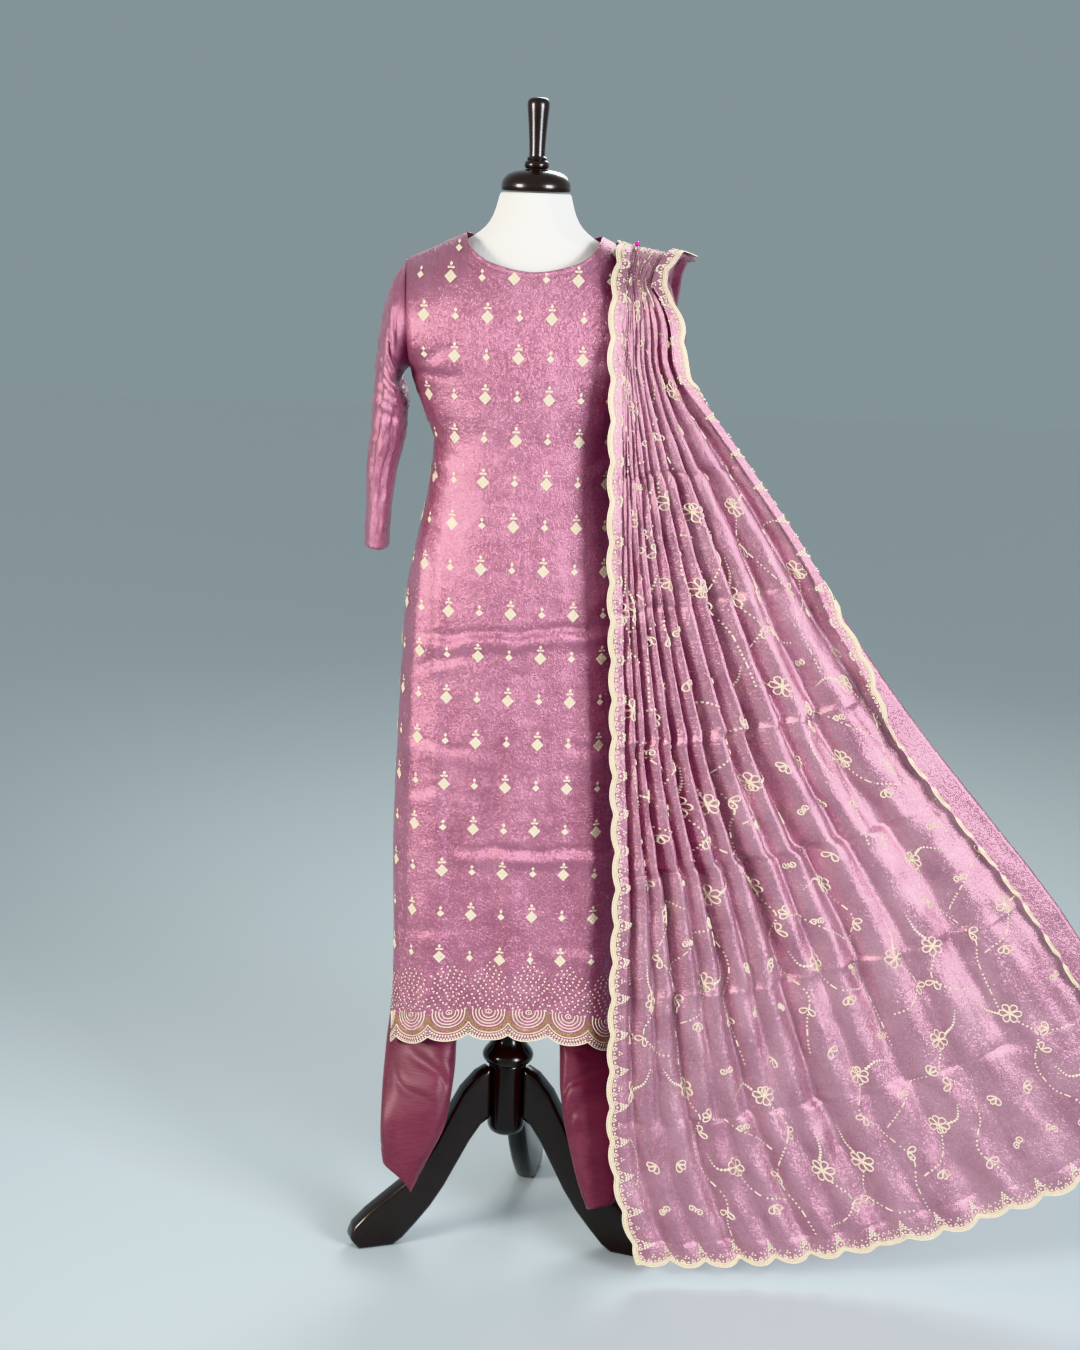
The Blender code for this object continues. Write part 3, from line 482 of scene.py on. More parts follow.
def fold_relief(folds, a, b):
    """Relief of a table of long soft folds."""
    total = np.zeros(np.broadcast(a, b).shape)
    for _, a0, b0, a1, b1, rise, width in zip(*folds.values()):
        down = (b0 - b) / (b0 - b1)
        off = a - (a0 + (a1 - a0) * down) + 0.003 * np.sin(7.3 * down + 11 * a0)
        total += rise * ease(down, 0, 0.25) * (1 - ease(down, 0.85, 1.15)) * np.exp(-((off / width) ** 2))
    return total


def neck_scoop(panel, x):
    """Height of the neckline's scoop, at distances from the middle."""
    neck_x, neck_z = NECK_POINT
    return neck_z - PANELS[panel]["neck_drop"] * np.sqrt(np.clip(1 - (x / neck_x) ** 2, 0, 1))


def top_edge(panel, x):
    """Height of a panel's top edge: the neckline's scoop, then the shoulder seam."""
    return np.where(np.abs(x) > NECK_POINT[0], ridge(x)[0], neck_scoop(panel, x))


def edge_stitches(panel, a, height):
    """The sunk line of stitches beside the turned edges of the neckline and of the side slits."""
    under = neck_scoop(panel, a) - height
    beside = panel_width(panel, height) / 2 - np.abs(a)
    slit = np.exp(-(((beside - 0.012) / 0.0028) ** 2)) * (1 - ease(height, SLIT_TOP - 0.03, SLIT_TOP))
    neck = np.exp(-(((under - 0.006) / 0.0015) ** 2)) * (np.abs(a) < NECK_POINT[0] - 0.002)
    return -0.0007 * slit - 0.0006 * neck


def panel_relief(panel, a, height):
    """How far a panel's cloth stands off the bare shape, for distances across it and heights."""
    a = a if panel == "front" else -a
    skirt = 1 - ease(height, 0.45, 0.95)
    sway = skirt * (0.0035 * np.sin(2 * math.pi * a / 0.113 + 0.8 + 2.2 * height)
                    + 0.0022 * np.sin(2 * math.pi * a / 0.061 + 3.1 * height))
    seed = 11 if panel == "front" else 17
    small = 0.00022 * rumple(a, height, seed, 0.030, 0.052)
    pulls = 0.0003 * rumple(a, height, seed + 1, 0.085, 0.040, sharp=True)
    shown = ease(height, 0.33, 0.42) * (1 - ease(height, 1.36, 1.43))
    folded = (crease_relief(CREASES, a, height) + fold_relief(FOLDS, a, height) + pulls) * shown
    return folded + sway + small + edge_stitches(panel, a, height)


def panel_surface(panel):
    """The panel's outer face as a function of the distance across it and the height."""
    outward = -PANELS[panel]["toward"]

    def bare(a, height):
        return bare_panel(panel, 0.5 + a / panel_width(panel, height), height)

    def surface(a, height):
        points, normals = face_of(bare, a, height, outward)
        # The relief fades out toward the sewn edges.
        inset = np.clip((0.5 - np.abs(a / panel_width(panel, height))) / 0.03, 0, 1)
        return points + normals * (panel_relief(panel, a, height) * inset)[..., None]

    return surface


def hem_line(panel, a):
    """Height of the lowest points of the scalloped hem, at distances across the panel."""
    share = a / panel_width(panel, SIDE_HEM)
    return SIDE_HEM + HEM_RISE * (1 - np.clip(2 * share, -1, 1) ** 2)


def scallop_rise(a, pitch, radius):
    """How far a scalloped edge stands inside its lowest points; its cusps are at whole pitches."""
    off = (a / pitch) % 1 - 0.5
    return radius - np.sqrt(radius**2 - (off * pitch) ** 2)


def tissue_silk(name, deep, bright, slub_mm, crinkle_mm, relief_mm, **settings):
    """Tissue silk: silk warp and metal-wrapped weft, so it glints along slubs and tiny crinkles.

    Its threads are 0.1 mm apart, too fine to show, so slubs and crinkles are drawn coarser. The crinkles also
    lighten the colour on their crests, as painted glints.
    """
    made, tree, shader = principled(name, **settings)
    flat = node(tree, "ShaderNodeUVMap", uv_map="flat")
    length, across = slub_mm

    def grain(width, height, **more):
        """Noise whose grains are so many millimetres wide across the cloth and high along it."""
        stretched = node(tree, "ShaderNodeMapping", [("Vector", flat, "UV")],
                         Scale=(1000 / width, 1000 / height, 1))
        return node(tree, "ShaderNodeTexNoise", [("Vector", stretched, "Vector")], Scale=1.0, **more)

    def add(total, output, part, weight):
        """The total so far, and a weighted part."""
        made = node(tree, "ShaderNodeMath", [(0, part, "Fac"), (2, total, output)], operation="MULTIPLY_ADD")
        made.inputs[1].default_value = weight
        return made

    crinkles = grain(crinkle_mm, crinkle_mm * 1.3, Detail=4.0, Roughness=0.6, Distortion=2.0)
    slubs = grain(across, length, Detail=2.0)
    wefts = grain(length * 0.6, across, Detail=2.0)
    clouds = grain(60, 90, Detail=3.0)
    relief = add(add(crinkles, "Fac", slubs, 0.10), "Value", wefts, 0.10)
    # The crinkles, which also raise the bump, lighten the colour in small specks on their crests: painted
    # glints. Slubs, wefts and clouds give the silk's own uneven tone.
    threads = add(add(add(crinkles, "Fac", wefts, 0.3), "Value", clouds, 1.3), "Value", slubs, 0.3)
    tone = node(tree, "ShaderNodeMapRange", [("Value", threads, "Value")],
                **{"From Min": 0.95, "From Max": 1.95})
    colour = two_tones(tree, tone, "Result", deep, bright)
    rough = node(tree, "ShaderNodeMapRange", [("Value", crinkles, "Fac")],
                 **{"From Min": 0.3, "From Max": 0.7, "To Min": settings["Roughness"] + 0.07,
                    "To Max": settings["Roughness"] - 0.07})
    bump = node(tree, "ShaderNodeBump", [("Height", relief, "Value")], Strength=1.0,
                Distance=relief_mm / 1000)
    tree.links.new(rough.outputs["Result"], shader.inputs["Roughness"])
    wire(tree, shader, colour, bump)
    return made


def sheet_mesh(name, points, flat, outward_is, merge=False):
    """A cloth piece from a grid of points [row, place, xyz], with its flat cut as the UV map.

    merge joins the grid's first and last places, which meet in a seam.
    """
    rows, places = points.shape[:2]
    index = np.arange(rows * places).reshape(rows, places)
    faces = np.stack([index[:-1, :-1], index[:-1, 1:], index[1:, 1:], index[1:, :-1]], axis=-1)
    if outward_is < 0:
        faces = faces[..., ::-1]
    faces = faces.reshape(-1, 4)
    mesh = bpy.data.meshes.new(name)
    mesh.from_pydata(points.reshape(-1, 3).tolist(), [], faces.tolist())
    layer = mesh.uv_layers.new(name="flat")
    layer.data.foreach_set("uv", flat.reshape(-1, 2)[faces.reshape(-1)].reshape(-1).astype(np.float32))
    mesh.shade_smooth()
    piece = bpy.data.objects.new(name, mesh)
    bpy.context.collection.objects.link(piece)
    if merge:
        bpy.ops.object.select_all(action="DESELECT")
        piece.select_set(True)
        bpy.context.view_layer.objects.active = piece
        bpy.ops.object.mode_set(mode="EDIT")
        bpy.ops.mesh.select_all(action="SELECT")
        bpy.ops.mesh.remove_doubles(threshold=2e-6)
        bpy.ops.object.mode_set(mode="OBJECT")
    return piece


def give_wall(piece, wall):
    """Gives a sheet its cloth's thickness, inward from its outer face."""
    thickness = piece.modifiers.new("cloth wall", "SOLIDIFY")
    thickness.thickness, thickness.offset = wall, -1
    thickness.use_even_offset = False


def finish_cloth(piece, surface, slot, *nodes):
    piece.data.materials.append(surface)
    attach(piece, BODY)
    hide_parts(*nodes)


KAMEEZ_SILK = tissue_silk("rose_tissue_silk", "#94536A", "#BF7F97", slub_mm=(16, 2.4), crinkle_mm=4.2,
                          relief_mm=1.1, Roughness=0.30, Metallic=0.55, Sheen_Weight=0.4,
                          Sheen_Roughness=0.35, Sheen_Tint=srgb("#F0C9DC"), IOR=1.65,
                          Specular_IOR_Level=1.0)
KAMEEZ_PLACES, KAMEEZ_ROWS = 133, 236


def cut_panel(panel, places, rows):
    """The panel's grid of points, and its flat cut, from its top edge to its scalloped hem."""
    share = np.linspace(0, 1, places)
    level = np.interp(np.full(places, SHOULDER_LEVEL), LEVELS, np.arange(len(LEVELS)))
    top = top_edge(panel, read_grid(PANELS[panel]["across"], level, share * (len(SHARES) - 1)))
    a_foot = (share - 0.5) * panel_width(panel, SIDE_HEM)
    foot = hem_line(panel, a_foot) + scallop_rise(a_foot, HEM_SCALLOP, HEM_EYE)
    down = np.linspace(0, 1, rows)[:, None] ** 1.25
    height = top + (foot - top) * down
    a = (share - 0.5) * panel_width(panel, height)
    return a, height


for panel, cad_node in (("front", "kameez_front"), ("back", "kameez_back")):
    a, height = cut_panel(panel, KAMEEZ_PLACES, KAMEEZ_ROWS)
    cloth = sheet_mesh(cad_node + "_silk", panel_surface(panel)(a, height), np.stack([a, height], axis=-1),
                       outward_is=PANELS[panel]["toward"])
    give_wall(cloth, CLOTH_WALL)
    finish_cloth(cloth, KAMEEZ_SILK, "kameez_silk", cad_node)

# ---------------------------------------------------------------- kameez embroidery
# Zari and cream thread are worked by hand over the finished panels: rows of lozenge motifs, and a
# hem of beads, couched cords and a satin-stitched gold band that follows every scallop.

# Motifs stand in 18 rows, from this height up, by this rise less what the body's curve takes.
MOTIF_ROWS, FIRST_MOTIFS, MOTIF_RISE, LOZENGE_PITCH = 18, 0.472, 0.0636, 0.0425
CREAM_THREAD, GOLD_THREAD, BROWN_GOLD = 0, 1, 2
MM = 0.001
# How far the work's flat ground stands off the cloth.
SEWN_LIFT = 0.0004


def thread(name, colour, shade, grain_mm, **settings):
    """Twisted thread or bead: a glossy highlight broken up by strands 0.4 mm thick, drawn coarser."""
    made, tree, shader = principled(name, **settings)
    place = node(tree, "ShaderNodeTexCoord")
    strands = node(tree, "ShaderNodeTexNoise", [("Vector", place, "Object")], Scale=1000 / grain_mm,
                   Detail=2.0)
    tone = two_tones(tree, strands, "Fac", shade, colour, start=0.35, end=0.62)
    bump = node(tree, "ShaderNodeBump", [("Height", strands, "Fac")], Strength=0.5, Distance=0.0004)
    wire(tree, shader, tone, bump)
    return made


THREADS = [
    thread("cream_silk_thread_and_beads", "#F3E9D6", "#DACAAC", grain_mm=1.6, Roughness=0.34),
    thread("gold_zari_thread", "#ECDDC0", "#C8B091", grain_mm=1.6, Roughness=0.32, Metallic=0.4),
    thread("antique_gold_satin_stitch", "#B08C6C", "#7C5748", grain_mm=1.4, Roughness=0.42, Metallic=0.3),
]


def join(*stamps):
    """One stamp from several; a stamp is (flat points with height [n, 3], triangles, thread of each)."""
    points, faces, threads, count = [], [], [], 0
    for stamp_points, stamp_faces, stamp_threads in stamps:
        points.append(stamp_points)
        faces.append(stamp_faces + count)
        threads.append(stamp_threads)
        count += len(stamp_points)
    return np.vstack(points), np.vstack(faces), np.concatenate(threads)


def lozenge(x, y, half_width, half_length, rise, stitched=CREAM_THREAD, sides=4):
    """A padded lozenge, or a round bead when it has more sides: two low pyramids, base to base."""
    turn = np.linspace(0, 2 * math.pi, sides, endpoint=False)
    rim = np.column_stack([x + half_width * np.cos(turn), y + half_length * np.sin(turn),
                           np.full(sides, 0.3 * rise)])
    points = np.vstack([rim, [(x, y, rise), (x, y, -0.3 * rise)]])
    ring = np.arange(sides)
    after = (ring + 1) % sides
    faces = np.vstack([np.column_stack([ring, after, np.full(sides, sides)]),
                       np.column_stack([after, ring, np.full(sides, sides + 1)])])
    return points, faces, np.full(len(faces), stitched)


def bead(x, y, radius, stitched=CREAM_THREAD):
    """A small round bead, as a six-sided lozenge."""
    return lozenge(x, y, radius, radius, radius * 0.9, stitched, sides=6)


def cord(path, width, rise, closed=False, stitched=CREAM_THREAD):
    """A couched cord along a flat path: a ridge with two sloping sides and a flat underside."""
    path = np.asarray(path, float)
    after, before = np.roll(path, -1, axis=0), np.roll(path, 1, axis=0)
    if not closed:
        after[-1], before[0] = path[-1], path[0]
    along = after - before
    along /= np.maximum(np.linalg.norm(along, axis=1, keepdims=True), 1e-9)
    side = np.column_stack([-along[:, 1], along[:, 0]]) * width / 2
    count = len(path)
    points = np.vstack([np.column_stack([path + side, np.full(count, -0.2 * rise)]),
                        np.column_stack([path, np.full(count, rise)]),
                        np.column_stack([path - side, np.full(count, -0.2 * rise)])])
    start = np.arange(count if closed else count - 1)
    end = (start + 1) % count
    faces = []
    for low, high in ((0, 1), (1, 2), (2, 0)):
        a, b, c, d = low * count + start, low * count + end, high * count + end, high * count + start
        faces += [np.column_stack([a, c, b]), np.column_stack([a, d, c])]
    if not closed:
        faces += [np.array([[0, 2 * count, count]]), np.array([[count - 1, 2 * count - 1, 3 * count - 1]])]
    faces = np.vstack(faces)
    return points, faces, np.full(len(faces), stitched)


def place_stamp(stamp, places):
    """Copies of a stamp at flat places."""
    points, faces, threads = stamp
    count = len(places)
    moved = np.tile(points, (count, 1, 1))
    moved[..., :2] += np.array(places)[:, None]
    offsets = (np.arange(count) * len(points))[:, None, None]
    return moved.reshape(-1, 3), (faces + offsets).reshape(-1, 3), np.tile(threads, count)


def sew(name, work, surface, outward, turned_over):
    """Sews worked stamps on a cloth: each flat point goes to the cloth's face, raised by its height."""
    points, faces, threads = work
    face, normal = face_of(surface, points[:, 0], points[:, 1], outward)
    points = face + normal * (points[:, 2:3] + SEWN_LIFT)
    if turned_over:
        faces = faces[:, ::-1]
    mesh = bpy.data.meshes.new(name)
    mesh.from_pydata(points.tolist(), [], faces.tolist())
    for used in THREADS:
        mesh.materials.append(used)
    mesh.polygons.foreach_set("material_index", threads.astype(np.int32))
    mesh.shade_smooth()
    mesh.set_sharp_from_angle(angle=math.radians(50))
    piece = bpy.data.objects.new(name, mesh)
    bpy.context.collection.objects.link(piece)
    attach(piece, BODY)
    return piece


# The large motif: a lattice of nine padded stitches on a gold ground, with two wings and a bud.
lattice = [lozenge(0, 0, 8.6 * MM, 9.2 * MM, 0.35 * MM, GOLD_THREAD)]
for i in range(3):
    for j in range(3):
        lattice.append(lozenge((i - j) * 2.75 * MM, (i + j - 2) * 2.95 * MM, 2.15 * MM, 2.3 * MM, 1.2 * MM))
for side in (-1, 1):
    lattice.append(lozenge(side * 2.9 * MM, 11.6 * MM, 2.7 * MM, 1.7 * MM, 0.9 * MM))
lattice.append(bead(0, 11.6 * MM, 1.5 * MM, GOLD_THREAD))
lattice.append(lozenge(0, 16.2 * MM, 2.3 * MM, 3.1 * MM, 1.0 * MM))
LARGE_MOTIF = join(*lattice)
SMALL_MOTIF = join(
    lozenge(0, 0, 5.2 * MM, 4.9 * MM, 0.35 * MM, GOLD_THREAD),
    *[lozenge(x * MM, y * MM, 2.3 * MM, 2.2 * MM, 1.0 * MM)
      for x, y in ((0, 2.3), (0, -2.3), (2.4, 0), (-2.4, 0))],
    lozenge(0, 8.2 * MM, 2.3 * MM, 3.0 * MM, 1.0 * MM),
)


def motif_rows(panel):
    """Places of the large and the small motifs: they take turns along each row and down each line."""
    large, small = [], []
    for row in range(MOTIF_ROWS):
        # Rows are 63 mm apart along the cloth; over the shoulder they rise less.
        height = FIRST_MOTIFS + MOTIF_RISE * row - 0.00023 * row**2
        height -= 0.011 * max(0, (row - 11) / 4) ** 2
        height -= 0.012 * (row > 16)
        for line in range(-6, 7):
            a = -0.0150 + LOZENGE_PITCH * line - 0.009 * (row == 16)
            half = panel_width(panel, height) / 2
            x = bare_panel(panel, 0.5 + a / (2 * half), np.array(height))[0] - AXIS[0]
            if abs(a) > half - 0.010:
                continue
            if height > neck_scoop(panel, x) - 0.003 or height > ridge(x)[0] - 0.004:
                continue
            (large if (line + row) % 2 == 0 else small).append((a, height))
    return large, small


def below_edge(panel, work):
    """What of a stamp lies below the panel's top edge; the rest is turned under with the cloth."""
    points, faces, threads = work
    a, height = points[:, 0], points[:, 1]
    x = bare_panel(panel, 0.5 + a / panel_width(panel, height), height)[:, 0] - AXIS[0]
    kept = (height < top_edge(panel, x) - 0.0015)[faces].all(axis=1)
    used = np.unique(faces[kept])
    return points[used], np.searchsorted(used, faces[kept]), threads[kept]


def hem_work(panel):
    """The hem's embroidery in one scallop after another, about each scallop's eye."""
    stamps, half_pitch, cords_reach = [], HEM_SCALLOP / 2, 0.0262
    half_width = panel_width(panel, SIDE_HEM) / 2
    draw = np.random.default_rng(5)
    count = int(half_width / HEM_SCALLOP) + 2

    def put(kind, eye_a, places, closed=False, **sizes):
        """Stamps beads at, or a cord through, places about an eye given as (sideways, above eye)."""
        a = eye_a + np.array([p[0] for p in places])
        height = hem_line(panel, a) + HEM_EYE + np.array([p[1] for p in places])
        inside = np.abs(a) < half_width - 0.0015
        if kind == "beads":
            stamps.extend(bead(x, y, **sizes) for x, y in np.column_stack([a, height])[inside])
        elif inside.sum() > 2:
            stamps.append(cord(np.column_stack([a, height])[inside], closed=closed and inside.all(), **sizes))

    def arc(radius, pitch, above=0.0):
        """Evenly spaced places on the lower arc about an eye, as far as the scallop's own half."""
        reach = math.asin(min(1, half_pitch / radius)) if radius > half_pitch else math.pi / 2 + above
        steps = max(4, int(2 * reach * radius / pitch))
        return [(radius * math.sin(t), -radius * math.cos(t)) for t in np.linspace(-reach, reach, steps + 1)]

    for number in range(-count, count + 1):
        eye_a = (number + 0.5) * HEM_SCALLOP
        if abs(eye_a) > half_width + half_pitch:
            continue
        # From the edge in: a cord, three rows of beads, the gold band beside its cord, and four arcs.
        put("cord", eye_a, arc(HEM_EYE - 0.0006, 0.003), width=2.0 * MM, rise=1.1 * MM)
        put("cord", eye_a, arc(0.0318, 0.003), width=1.5 * MM, rise=1.0 * MM)
        put("cord", eye_a, arc(0.0282, 0.003), width=5.2 * MM, rise=0.6 * MM, stitched=BROWN_GOLD)
        for radius in (0.0402, 0.0352):
            put("beads", eye_a, arc(radius, 0.0040), radius=1.45 * MM)
        put("beads", eye_a, arc(0.0377, 0.0044), radius=1.0 * MM, stitched=GOLD_THREAD)
        for radius in (0.0226, 0.0182, 0.0138, 0.0094):
            put("cord", eye_a, arc(radius, 0.0022, above=0.25), width=1.5 * MM, rise=1.0 * MM)
        turns = np.linspace(0, 2 * math.pi, 12, endpoint=False)
        ring = [(0.0042 * math.sin(t), 0.0030 * math.cos(t)) for t in turns]
        put("cord", eye_a, ring, closed=True, width=1.3 * MM, rise=1.0 * MM)
        put("beads", eye_a, [(0, 0)], radius=1.1 * MM)
        # Beads lie in rings about the eye, up to the border's wavy top.
        scattered = []
        for ring_number in range(13):
            radius = 0.0076 + 0.0055 * ring_number
            steps = max(3, int(math.pi * radius / 0.0062))
            turns = np.linspace(-math.pi / 2 - 0.5, math.pi / 2 + 0.5, steps)
            for t in turns + 0.5 * (ring_number % 2) / steps:
                across, above = radius * math.sin(t), radius * math.cos(t)
                across += draw.normal(0, 0.0004)
                above += draw.normal(0, 0.0004)
                top = 0.0735 - 0.0190 * (abs(across) / half_pitch) ** 1.3
                low = -math.sqrt(max(0, cords_reach**2 - across**2))
                clear = abs(across) < half_pitch - 0.0006 and above < top and above > low
                outside = (above > 0.001 or radius > cords_reach) and math.hypot(across, above) > 0.0062
                if clear and outside:
                    scattered.append((across, above))
        put("beads", eye_a, scattered, radius=1.35 * MM)
    return join(*stamps)


for panel in ("front", "back"):
    large, small = motif_rows(panel)
    toward = PANELS[panel]["toward"]
    motifs = join(place_stamp(LARGE_MOTIF, large), place_stamp(SMALL_MOTIF, small))
    work = join(below_edge(panel, motifs), hem_work(panel))
    embroidery = sew(f"kameez_{panel}_embroidery", work, panel_surface(panel), -toward,
                     turned_over=toward > 0)

# ---------------------------------------------------------------- sleeves
# Three-quarter sleeves of the same silk, each one piece set into the armhole and seamed underneath.
# Their cuffs are turned under and stitched, and no work is done on them.

# Down a sleeve: how far its outer and its inner (body side) line stand out and up, half its depth,
# and how much deeper the right sleeve is, which no stole holds down.
SLEEVE = table("along outer_x outer_z inner_x inner_z half_depth looser", [
    (0, 0.1735, 1.4320, 0.1645, 1.2880, 0.090, 0.000),
    (1, 0.1870, 1.4080, 0.1740, 1.2790, 0.081, 0.009),
    (2, 0.1985, 1.3700, 0.1790, 1.2660, 0.083, 0.007),
    (3, 0.2070, 1.3270, 0.1730, 1.2520, 0.082, 0.003),
    (4, 0.2130, 1.2760, 0.1670, 1.2350, 0.078, 0.000),
    (5, 0.2180, 1.2100, 0.1690, 1.1990, 0.072, 0.000),
    (6, 0.2230, 1.1400, 0.1820, 1.1400, 0.066, 0.000),
    (7, 0.2210, 1.0900, 0.1880, 1.0880, 0.062, 0.000),
    (8, 0.2240, 1.0420, 0.1900, 1.0360, 0.059, 0.000),
])
# Folds of a hanging sleeve: distance round from its top line and distance down, at each end.
SLEEVE_FOLDS = table("number a0 b0 a1 b1 depth width swell", [
    (0, 0.122, 0.075, 0.050, 0.035, 0.0046, 0.0060, 0.0034),
    (1, 0.124, 0.114, 0.070, 0.100, 0.0054, 0.0055, 0.0040),
    (2, 0.122, 0.158, 0.075, 0.170, 0.0046, 0.0055, 0.0036),
    (3, 0.124, 0.196, 0.095, 0.188, 0.0030, 0.0050, 0.0022),
    (4, 0.108, 0.190, 0.098, 0.405, 0.0040, 0.0070, 0.0020),
    (5, 0.060, 0.120, 0.064, 0.330, 0.0026, 0.0080, 0.0016),
    (6, 0.128, 0.260, 0.122, 0.400, 0.0024, 0.0060, 0.0016),
])
SLEEVE_LENGTH, SLEEVE_GIRTH, SLEEVE_STATIONS = 0.42, 0.34, 8
SLEEVE_PLACES, SLEEVE_ROWS, CUFF_STITCHES = 81, 105, 7.82


def bare_sleeve(side, turn, along):
    """Points of a sleeve for turns round it (0 is its top line) and places down its length."""
    angle = 2 * math.pi * turn
    height = (SHOULDER_TIP[1] + UNDERARM) / 2 + (SHOULDER_TIP[1] - UNDERARM) / 2 * np.cos(angle)
    # The first ring is sewn to the side edges of the two panels.
    share = np.full(height.shape, 1.0 if side > 0 else 0.0)
    at_front, at_back = bare_panel("front", share, height), bare_panel("back", share, height)
    at_body = (np.where((np.sin(angle) > 0)[..., None], at_front, at_back) - AXIS) * np.array([side, 1, 1])
    at_body[..., 0] -= CLOTH_WALL
    outer, inner = ([column(SLEEVE, edge + axis, along) for axis in ("_x", "_z")]
                    for edge in ("outer", "inner"))
    wave = np.sign(np.cos(angle)) * np.abs(np.cos(angle)) ** 0.9
    x, z = ((o + i) / 2 + wave * (o - i) / 2 for o, i in zip(outer, inner))
    half_depth = column(SLEEVE, "half_depth", along) + (side < 0) * column(SLEEVE, "looser", along)
    deep = np.abs(np.sin(angle)) ** 0.9 * half_depth
    tube = np.stack([x, -np.sign(np.sin(angle)) * deep, z], axis=-1)
    joined = np.clip(along, 0, 1)[..., None]
    points = at_body * (1 - joined) + tube * joined
    return points * np.array([side, 1, 1]) + AXIS


def sleeve_relief(side, turn, along):
    """Crinkles down a sleeve: pulls from the underarm, soft folds at the elbow, and a stitched cuff."""
    a, b = turn * SLEEVE_GIRTH, along * SLEEVE_LENGTH / SLEEVE_STATIONS
    seed = 31 if side < 0 else 37
    shown = ease(along, 0.15, 1.2) * (1 - ease(along, 7.5, 7.8))
    folds = crease_relief(SLEEVE_FOLDS, np.minimum(a, SLEEVE_GIRTH - a), b)
    long_folds = 0.0008 * rumple(a, b, seed, 0.060, 0.30)
    pulls = 0.0006 * rumple(a + 0.5 * b, b, seed + 1, 0.040, 0.080, sharp=True)
    elbow = 0.0007 * np.exp(-(((along - 4.2) / 1.3) ** 2)) * rumple(a, b, seed + 2, 0.12, 0.016)
    cuff = -0.0007 * np.exp(-(((along - CUFF_STITCHES) / 0.035) ** 2))
    return (folds + long_folds + pulls + elbow) * shown + cuff


def sleeve_surface(side):
    """The sleeve's outer face as a function of the turn round it and the place down it."""
    def surface(turn, along):
        points, normals = face_of(lambda t, p: bare_sleeve(side, t, p), turn, along, side, step=0.01)
        return points + normals * sleeve_relief(side, turn, along)[..., None]
    return surface


for name, side in (("sleeve_left", 1), ("sleeve_right", -1)):
    turn, along = np.meshgrid(np.linspace(0, 1, SLEEVE_PLACES), np.linspace(0, SLEEVE_STATIONS, SLEEVE_ROWS))
    points = sleeve_surface(side)(turn, along)
    points[:, -1] = points[:, 0]
    # Each sleeve is cut from its own part of the silk.
    flat = np.stack([turn * SLEEVE_GIRTH + (0.6 if side < 0 else 1.1),
                     1.4 - along * SLEEVE_LENGTH / SLEEVE_STATIONS], axis=-1)
    sleeve = sheet_mesh(name + "_silk", points, flat, outward_is=side, merge=True)
    give_wall(sleeve, CLOTH_WALL)
    finish_cloth(sleeve, KAMEEZ_SILK, "kameez_silk", name)

# ---------------------------------------------------------------- trousers
# Straight trousers of plain plum silk, cut as two legs joined from waist to crotch and gathered on a
# drawcord in the waistband. Their slanting hems are turned up 26 mm and stitched.

TROUSERS = table("height inner outer forward half_depth bend", [
    (0.080, 0.1250, 0.1560, 0.0990, 0.014, 0.000),
    (0.120, 0.1100, 0.1680, 0.0990, 0.016, 0.000),
    (0.160, 0.0990, 0.1770, 0.0985, 0.019, 0.000),
    (0.215, 0.0850, 0.1800, 0.0960, 0.023, 0.005),
    (0.270, 0.0770, 0.1800, 0.0860, 0.028, 0.036),
    (0.330, 0.0740, 0.1765, 0.0690, 0.030, 0.064),
    (0.450, 0.0580, 0.1660, 0.0660, 0.036, 0.044),
    (0.600, 0.0280, 0.1540, 0.0720, 0.034, 0.026),
    (0.720, 0.0004, 0.1480, 0.0800, 0.028, 0.022),
    (0.800, 0.0003, 0.1420, 0.0920, 0.015, 0.024),
    (0.900, 0.0003, 0.1340, 0.1055, 0.0045, 0.030),
    (1.020, 0.0003, 0.1280, 0.1045, 0.0038, 0.030),
    (1.060, 0.0003, 0.1230, 0.1025, 0.0038, 0.028),
])
CROTCH, WAIST_SEAM, WAIST_TOP, TROUSER_SQUARENESS = 0.720, 1.020, 1.055, 3.2
HEM_TURN_UP = 0.026
# Each leg's side, its hem's height at the tip, the hem's rise from there to the outer edge, and how
# far the leg's inner edge swings out at the hem.
TROUSER_LEGS = {"trouser_leg_right": (-1, 0.104, 0.046, 0.018), "trouser_leg_left": (1, 0.088, 0.012, 0.0)}
SWING_HEIGHTS = (0.100, 0.215)
# Pulls in the cloth below the tunic's hem: turn round the leg and height at each end, depth, width.
LEG_CREASES = {
    -1: table("number a0 b0 a1 b1 depth width swell", [
        (0, 0.30, 0.318, 0.08, 0.262, 0.0042, 0.0055, 0.0040),
        (1, 0.36, 0.285, 0.17, 0.236, 0.0022, 0.0050, 0.0022),
        (2, 0.24, 0.205, 0.06, 0.170, 0.0010, 0.0060, 0.0012),
    ]),
    1: table("number a0 b0 a1 b1 depth width swell", [
        (0, 0.06, 0.262, 0.26, 0.296, 0.0042, 0.0055, 0.0040),
        (1, 0.08, 0.222, 0.22, 0.246, 0.0020, 0.0050, 0.0022),
        (2, 0.10, 0.330, 0.28, 0.312, 0.0022, 0.0055, 0.0022),
    ]),
}
LEG_GIRTH = 0.34


